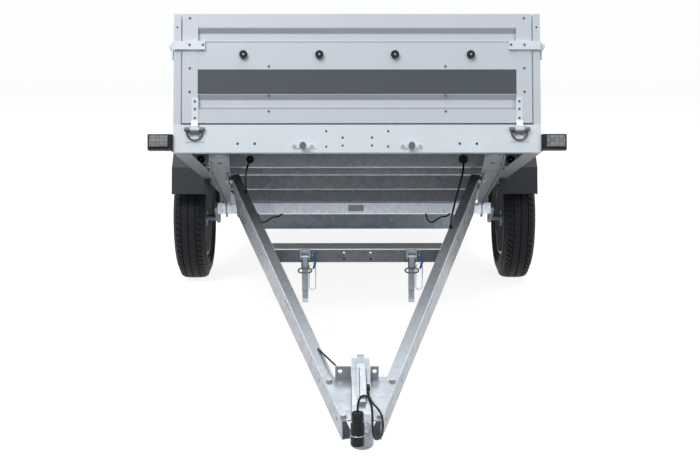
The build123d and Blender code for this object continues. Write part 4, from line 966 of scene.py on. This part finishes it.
def make_drawbar_trim(materials):
    """Bails, handle tips and links of the toggles, painted highlights along the edges, dark lines of painted shade by
    the coupling, and its cap.
    """
    # The bails and their links take the ring zinc, a darker copy of the frame's zinc as painted shade.
    shifted_copy("toggle_bails", "lowered_bails", DRAWBAR, Vector((0, 0, -BAIL_DROP)), materials["ring_zinc"])
    bright, dark = materials["bright_rail"], materials["dark_zinc"]
    # Painted highlight along the crossbar's top front edge.
    wire("crossbar_edge", on_bar(-EDGE_HALF, EDGE_FRONT, EDGE_TOP), on_bar(EDGE_HALF, EDGE_FRONT, EDGE_TOP),
         EDGE_RADIUS, bright, slot="galvanised")
    flat_piece("lever_cap", LEVER_CAP, CAP_LEFT, CAP_RIGHT, DRAWBAR, materials["drawbar_zinc"], TOW_FRAME)
    for side, sign in SIDES.items():
        # Dark lines of painted shade beside the lever's cap and where the coupling's body meets the nose plate.
        across = LEVER_SHADE_LINES[side]
        wire("lever_seam_" + side, on_bar(across, *LEVER_REAR), on_bar(across, *LEVER_FRONT), LEVER_SHADE_RADIUS, dark)
        across = sign * SHADE_LINE_ACROSS
        wire("coupling_seam_" + side, on_bar(across, *SHADE_LINE_REAR), on_bar(across, *SHADE_LINE_FRONT), SHADE_LINE_RADIUS, dark)
        # Painted highlight along each bar's outer top fold.
        (x0, y0, z0), (x1, y1, z1) = FOLD_REAR, FOLD_FRONT
        wire("bar_edge_" + side, on_bar(sign * x0, y0, z0), on_bar(sign * x1, y1, z1), FOLD_RADIUS, bright,
             slot="galvanised")
        low, high = corners("toggle_latch_" + side)
        middle = (low.x + high.x) / 2
        outline = [(low.y + y, low.z + z) for y, z in HANDLE_TIP]
        flat_piece("handle_tip_" + side, outline, middle - HANDLE_HALF, middle + HANDLE_HALF, DRAWBAR,
                   materials["zinc_plate"])
        for number, across in enumerate((-LINK_PLACE, LINK_PLACE)):
            foot = Vector((middle + across, low.y + LINK_FRONT, low.z + LINK_FOOT))
            wire(f"bail_link_{side}_{number}", foot, foot + Vector((0, 0, LINK_LENGTH)), LINK_RADIUS,
                 materials["ring_zinc"])


# ---------------------------------------------------------------- cords
def moved(point):
    """A route's point, carried along Y into the row frame."""
    x, y, z = point
    return Vector((x, y + BED_ORIGIN.y, z))


# The plug's cable, from the gland to the plug: control points, thickness and length.
PLUG_ROUTE = [moved(p) for p in (
    (0.0205, -1.014028, 0.132815), (0.0205, -1.066926, 0.117757), (0.060, -1.134, 0.100), (0.060, -1.168, 0.042),
    (0.028, -1.222, 0.045), (0.028, -1.226, 0.178), (-0.0135, -1.208, 0.178), (-0.0135, -1.208, 0.130))]
PLUG_CABLE = 0.0065
# Cables from the box's grommets to the drawbar: thickness and control points.
UNDER_CABLE = 0.008
UNDER_ROUTES = {
    "left": [moved(p) for p in (
        (-0.441, 0.5336, 0.644), (-0.441, 0.470, 0.65884), (-0.450, 0.425, 0.620), (-0.4592, 0.463236, 0.583466),
        (-0.4592, 0.479662, 0.525759))],
    "right": [moved(p) for p in (
        (0.448, 0.5336, 0.644), (0.448, 0.463, 0.66047), (0.440, 0.410, 0.600), (0.3678, 0.131173, 0.478548),
        (0.3678, 0.144862, 0.430458))],
}
# Cable from the left drawbar rail to the upright plate.
NOSE_ROUTE = [moved(p) for p in (
    (-0.1348, -0.7179, 0.1744), (-0.1150, -0.7760, 0.1735), (-0.0950, -0.8380, 0.1715), (-0.0770, -0.8900, 0.1700))]
# Slack loops under the axle tube: thickness, distance behind the box's front, route across from the loop's left end
# and in height, and each loop's left end.
LOOP_CABLE = 0.008
LOOP_ALONG = 1.194
LOOP_ROUTE = ((0.0, -0.138), (0.004, -0.158), (0.016, -0.183), (0.036, -0.184), (0.058, -0.166), (0.080, -0.156),
              (0.102, -0.158), (0.119, -0.138))
LOOP_PLACES = {"left": -0.459, "right": 0.339}
# Plug, standing on its lower end: radius and height above it.
PLUG_PROFILE = ((0.0, 0.0), (0.0182, 0.0), (0.0196, 0.002), (0.0196, 0.026), (0.0184, 0.028), (0.0184, 0.033),
                (0.0202, 0.034), (0.0202, 0.046), (0.0192, 0.047), (0.0192, 0.049), (0.0202, 0.050), (0.0202, 0.064),
                (0.0160, 0.067), (0.0160, 0.0715), (0.0178, 0.0725), (0.0178, 0.093), (0.0155, 0.0975),
                (0.0070, 0.0990), (0.0, 0.0995))
PLUG_FOOT = moved((-0.0135, -1.208, 0.030))
# Wire ring round the plug: height above its foot, radius and thickness.
PLUG_RING_HEIGHT, PLUG_RING_RADIUS, PLUG_RING_WIRE = 0.0305, 0.0197, 0.0012
UP = Vector((0, 0, 1))


def cord_curve(name, diameter, route):
    """A smooth cord: a quadratic NURBS curve with the route's points as its control points."""
    data = bpy.data.curves.new(name, "CURVE")
    data.dimensions = "3D"
    data.bevel_depth = diameter / 2
    data.bevel_resolution = 4
    data.resolution_u = 12
    data.use_fill_caps = True
    line = data.splines.new("NURBS")
    line.points.add(len(route) - 1)
    for spot, place in zip(line.points, route):
        spot.co = (*place, 1.0)
    line.order_u = 3
    line.use_endpoint_u = True
    obj = bpy.data.objects.new(name, data)
    bpy.context.scene.collection.objects.link(obj)
    return obj


def cord_mesh(name, diameter, route):
    """A cord that is held at both ends, as a smooth mesh."""
    obj = plain_mesh(cord_curve(name, diameter, route))
    obj.data.shade_smooth()
    return obj


def make_cords(materials):
    """The plug on its cable, the cable across the nose, the axle's loops and the cables from the grommets."""
    black = materials["black_plastic"]
    plug = lathe("lighting_plug", PLUG_PROFILE, PLUG_FOOT, UP, steps=CAP_SIDES)
    seat(plug, DRAWBAR, black)
    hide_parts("plug")
    bail = ring("plug_wire", PLUG_FOOT + UP * PLUG_RING_HEIGHT, UP, PLUG_RING_RADIUS, PLUG_RING_WIRE)
    seat(bail, DRAWBAR, materials["steel_wire"])
    cord = cord_curve("plug_lead", PLUG_CABLE, PLUG_ROUTE)
    seat(cord, DRAWBAR, black)
    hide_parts("plug_cable")
    seat(cord_mesh("nose_cable", PLUG_CABLE, NOSE_ROUTE), DRAWBAR, black)
    for side, place in LOOP_PLACES.items():
        route = [on_bed(place + across, LOOP_ALONG, height) for across, height in LOOP_ROUTE]
        loop = cord_mesh("axle_loop_" + side, LOOP_CABLE, route)
        seat(loop, BED, black)
        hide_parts("axle_cable_loops")
    for side, route in UNDER_ROUTES.items():
        obj = cord_mesh("under_cable_" + side, UNDER_CABLE, route)
        paint(obj, black)
        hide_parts("cable_" + side)
        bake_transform(obj)


# ---------------------------------------------------------------- finishes on the CAD nodes
# Nodes with a finish other than their slot's own; the zinc ones are paler copies of the frame's zinc as painted
# light, or darker ones as painted shade.
FINISHES = {
    "front_board": "front_sheet",
    "mudguard_left": "guard_plastic",
    "mudguard_right": "guard_plastic",
    "lynch_pins": "steel_wire",
    "front_rail": "bright_rail",
    "front_hinge_leaves": "bright_rail",
    "front_board_straps": "bright_rail",
    "corner_latches": "bright_rail",
    "cross_members": "under_zinc",
    "tail_bar": "under_zinc",
    "crossbar": "shaded_zinc",
    "drawbar_rail_left": "drawbar_zinc",
    "drawbar_rail_right": "drawbar_zinc",
    "axle_tube": "axle_zinc",
    "nose_plate": "drawbar_zinc",
    "coupling_head": "drawbar_zinc",
    "latch_keepers": "bright_rail",
}


def finish_nodes(materials):
    """Each CAD node takes the material of its slot, or the one given for it in FINISHES."""
    slots = {row["node"]: row["material_slot"] for row in frame["record"]["subparts"]}
    for node, obj in frame["nodes"].items():
        paint(obj, materials[FINISHES.get(node, slots[node])])


# ---------------------------------------------------------------- studio
CAMERA_PLACE = (-0.054, -5.11925, 1.18809)
CAMERA_PITCH_DOWN = 9.93
CAMERA_TURN = -0.35
CAMERA_LENS = 59.99
CAMERA_SENSOR = 36.0
PICTURE = (700, 467)
SKY_BLUE = (0.93, 0.965, 1.0, 1.0)
WHITE = (1.0, 1.0, 1.0, 1.0)
# Lamps: name, place, size, the point that it is aimed at.
LAMPS = (("key", (-2.4, -4.2, 5.6), 3.0, (0.0, -0.3, 0.5)), ("fill", (3.4, -5.2, 2.4), 3.0, (0.0, 0.0, 0.5)),
         ("top", (0.0, 0.3, 5.2), 5.0, (0.0, 0.3, 0.0)))
# Floor: half its size, where its sweep starts behind the object, the sweep's radius, height and steps.
FLOOR_HALF = 26.0
SWEEP_START = 18.0
SWEEP_RADIUS = 4.0
SWEEP_HEIGHT = 14.0
SWEEP_STEPS = 12
# Grey of the floor where it is looked at, and its own glow there.
FLOOR_PALE, FLOOR_GLOW = 0.40, 0.88


def seen_rays(tree):
    """1 for camera, glossy and transmission rays, otherwise 0."""
    path = tree.nodes.new("ShaderNodeLightPath")
    first = add(tree, "ShaderNodeMath", operation="MAXIMUM",
                inputs={0: path.outputs["Is Camera Ray"], 1: path.outputs["Is Glossy Ray"]})
    return add(tree, "ShaderNodeMath", operation="MAXIMUM",
               inputs={0: first.outputs[0], 1: path.outputs["Is Transmission Ray"]}).outputs[0]


def floor_material(studio):
    """White where it is looked at, with soft shadows, and duller for the light that it throws back."""
    material = bpy.data.materials.new("studio_floor")
    material.use_nodes = True
    tree = material.node_tree
    leave = next(n for n in tree.nodes if n.type == "OUTPUT_MATERIAL")
    dull = add(tree, "ShaderNodeBsdfDiffuse", inputs={"Color": shade(WHITE, studio.floor_bounce)})
    pale = add(tree, "ShaderNodeBsdfDiffuse", inputs={"Color": shade(WHITE, FLOOR_PALE)})
    glow = add(tree, "ShaderNodeEmission", inputs={"Color": shade(WHITE, FLOOR_GLOW), "Strength": 1.0})
    white = tree.nodes.new("ShaderNodeAddShader")
    tree.links.new(pale.outputs[0], white.inputs[0])
    tree.links.new(glow.outputs[0], white.inputs[1])
    both = add(tree, "ShaderNodeMixShader", inputs={0: seen_rays(tree)})
    tree.links.new(dull.outputs[0], both.inputs[1])
    tree.links.new(white.outputs[0], both.inputs[2])
    tree.links.new(both.outputs[0], leave.inputs["Surface"])
    return material


def make_world(studio):
    """Soft sky light; what looks at it directly or in a reflection sees plain white."""
    world = bpy.data.worlds.new("studio")
    world.use_nodes = True
    tree = world.node_tree
    leave = next(n for n in tree.nodes if n.type == "OUTPUT_WORLD")
    sky = next(n for n in tree.nodes if n.type == "BACKGROUND")
    sky.inputs["Color"].default_value = SKY_BLUE
    sky.inputs["Strength"].default_value = studio.sky
    white = add(tree, "ShaderNodeBackground", inputs={"Color": WHITE, "Strength": 1.0})
    both = add(tree, "ShaderNodeMixShader", inputs={0: seen_rays(tree)})
    tree.links.new(sky.outputs[0], both.inputs[1])
    tree.links.new(white.outputs[0], both.inputs[2])
    tree.links.new(both.outputs[0], leave.inputs["Surface"])
    return world


def make_camera():
    """Camera in front of the nose, a little above it and turned down."""
    data = bpy.data.cameras.new("camera")
    data.lens = CAMERA_LENS
    data.sensor_width = CAMERA_SENSOR
    camera = bpy.data.objects.new("camera", data)
    bpy.context.scene.collection.objects.link(camera)
    camera.location = CAMERA_PLACE
    camera.rotation_euler = (math.radians(90 - CAMERA_PITCH_DOWN), 0, math.radians(CAMERA_TURN))
    bpy.context.scene.camera = camera


def make_stage(studio):
    """Pale seamless floor and sweep, soft lamps, sky and the camera."""
    scene = bpy.context.scene
    section = [(-FLOOR_HALF, 0.0), (SWEEP_START, 0.0)]
    for i in range(1, SWEEP_STEPS + 1):
        angle = math.pi / 2 * i / SWEEP_STEPS
        section.append((SWEEP_START + SWEEP_RADIUS * math.sin(angle), SWEEP_RADIUS * (1 - math.cos(angle))))
    section.append((SWEEP_START + SWEEP_RADIUS, SWEEP_HEIGHT))
    vertices = [Vector((x, y, z)) for y, z in section for x in (-FLOOR_HALF, FLOOR_HALF)]
    faces = [(2 * i, 2 * i + 1, 2 * i + 3, 2 * i + 2) for i in range(len(section) - 1)]
    floor = new_object("studio_floor", vertices, faces, smooth=True)
    paint(floor, floor_material(studio))
    powers = {"key": studio.key, "fill": studio.fill, "top": studio.top}
    for name, place, size, target in LAMPS:
        data = bpy.data.lights.new(name, "AREA")
        data.shape = "DISK"
        data.size = size
        data.energy = powers[name]
        lamp = bpy.data.objects.new(name, data)
        scene.collection.objects.link(lamp)
        lamp.location = place
        lamp.rotation_euler = (Vector(target) - Vector(place)).to_track_quat("-Z", "Y").to_euler()
    make_camera()
    scene.world = make_world(studio)
    scene.render.resolution_x, scene.render.resolution_y = PICTURE
    scene.view_settings.view_transform = "Standard"


# ---------------------------------------------------------------- add-on
MATERIALS = {}


class TrailerFinish(bpy.types.PropertyGroup):
    """Colours of the trailer's finishes."""
    sheet: bpy.props.FloatVectorProperty(name="Sheet", description="Colour of the coated boards", subtype="COLOR",
                                         size=3, default=(0.63, 0.69, 0.755), min=0.0, max=1.0)
    steel: bpy.props.FloatVectorProperty(name="Steel", description="Colour of the galvanised frame",
                                         subtype="COLOR", size=3, default=(0.455, 0.50, 0.55), min=0.0, max=1.0)
    slate: bpy.props.FloatVectorProperty(name="Band", description="Colour of the band on the front board",
                                         subtype="COLOR", size=3, default=(0.058, 0.068, 0.086), min=0.0, max=1.0)
    rubber: bpy.props.FloatVectorProperty(name="Rubber", description="Colour of the tyres", subtype="COLOR",
                                          size=3, default=(0.0100, 0.0120, 0.0150), min=0.0, max=1.0)
    plastic: bpy.props.FloatVectorProperty(name="Plastic", description="Colour of knobs, lamps and cables",
                                           subtype="COLOR", size=3, default=(0.012, 0.013, 0.015), min=0.0, max=1.0)


class TrailerTyre(bpy.types.PropertyGroup):
    """Pattern of the tyres' tread."""
    pitches: bpy.props.IntProperty(name="Pitches", description="Tread blocks round the tyre", default=64, min=24,
                                   max=120)
    tread_depth: bpy.props.FloatProperty(name="Tread Depth", description="Depth of the grooves", default=0.007,
                                         min=0.002, max=0.012, unit="LENGTH", subtype="DISTANCE")
    sipe: bpy.props.FloatProperty(name="Sipe", description="Width of the cuts across the middle ribs",
                                  default=0.0008, min=0.0005, max=0.006, unit="LENGTH", subtype="DISTANCE")


class TrailerStudio(bpy.types.PropertyGroup):
    """Lamps, sky and floor of the studio."""
    key: bpy.props.FloatProperty(name="Key", description="Power of the large lamp in front", default=215.0, min=0.0,
                                 unit="POWER")
    fill: bpy.props.FloatProperty(name="Fill", description="Power of the lamp at the right", default=40.0, min=0.0,
                                  unit="POWER")
    top: bpy.props.FloatProperty(name="Top", description="Power of the lamp overhead", default=170.0, min=0.0,
                                 unit="POWER")
    sky: bpy.props.FloatProperty(name="Sky", description="Strength of the light from all round", default=0.34,
                                 min=0.0)
    floor_bounce: bpy.props.FloatProperty(name="Floor Bounce", description="Share of light that the floor returns",
                                          default=0.1, min=0.0, max=1.0, subtype="FACTOR")


class TRAILER_OT_stage(bpy.types.Operator):
    """Builds the floor, lamps, sky and camera"""
    bl_idname = "trailer.stage"
    bl_label = "Stage"

    def execute(self, context):
        make_stage(context.scene.trailer_studio)
        return {"FINISHED"}


class TRAILER_OT_materials(bpy.types.Operator):
    """Makes every finish and gives the CAD pieces theirs"""
    bl_idname = "trailer.materials"
    bl_label = "Finishes"

    def execute(self, context):
        MATERIALS.update(make_materials(context.scene.trailer_finish))
        finish_nodes(MATERIALS)
        return {"FINISHED"}


class TRAILER_OT_cords(bpy.types.Operator):
    """Hangs the plug on its cable and the cables between the box and the drawbar"""
    bl_idname = "trailer.cords"
    bl_label = "Cords"

    def execute(self, context):
        make_cords(MATERIALS)
        return {"FINISHED"}


class TRAILER_OT_tyres(bpy.types.Operator):
    """Makes the grooved tyres"""
    bl_idname = "trailer.tyres"
    bl_label = "Tyres"

    def execute(self, context):
        make_tyres(MATERIALS, context.scene.trailer_tyre)
        return {"FINISHED"}


class TRAILER_OT_fixings(bpy.types.Operator):
    """Adds bolts, rivets and screws"""
    bl_idname = "trailer.fixings"
    bl_label = "Fixings"

    def execute(self, context):
        make_fixings(MATERIALS)
        return {"FINISHED"}


class TRAILER_OT_trim(bpy.types.Operator):
    """Adds rings, caps, tongues, handle tips, seams and bright edges"""
    bl_idname = "trailer.trim"
    bl_label = "Trim"

    def execute(self, context):
        make_rail_trim(MATERIALS)
        make_drawbar_trim(MATERIALS)
        return {"FINISHED"}


class TRAILER_OT_hubs(bpy.types.Operator):
    """Adds wheel nuts, grease caps and valves"""
    bl_idname = "trailer.hubs"
    bl_label = "Hubs"

    def execute(self, context):
        make_hubs(MATERIALS)
        return {"FINISHED"}


OPERATORS = (TRAILER_OT_stage, TRAILER_OT_materials, TRAILER_OT_cords, TRAILER_OT_tyres, TRAILER_OT_fixings,
             TRAILER_OT_trim, TRAILER_OT_hubs)
SETTINGS = {"trailer_finish": TrailerFinish, "trailer_tyre": TrailerTyre, "trailer_studio": TrailerStudio}


class TRAILER_PT_panel(bpy.types.Panel):
    """Settings and a button for each step"""
    bl_label = "Trailer"
    bl_space_type = "VIEW_3D"
    bl_region_type = "UI"
    bl_category = "Trailer"

    def draw(self, context):
        for name, kind in SETTINGS.items():
            for prop in kind.__annotations__:
                self.layout.prop(getattr(context.scene, name), prop)
        for operator in OPERATORS:
            self.layout.operator(operator.bl_idname)


CLASSES = tuple(SETTINGS.values()) + OPERATORS + (TRAILER_PT_panel,)


def register():
    for cls in CLASSES:
        bpy.utils.register_class(cls)
    for name, kind in SETTINGS.items():
        setattr(bpy.types.Scene, name, bpy.props.PointerProperty(type=kind))


def unregister():
    for name in SETTINGS:
        delattr(bpy.types.Scene, name)
    for cls in reversed(CLASSES):
        bpy.utils.unregister_class(cls)


def main():
    """Runs every step in order."""
    register()
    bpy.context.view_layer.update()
    for operator in OPERATORS:
        group, name = operator.bl_idname.split(".")
        getattr(getattr(bpy.ops, group), name)()


if __name__ == "__main__":
    main()
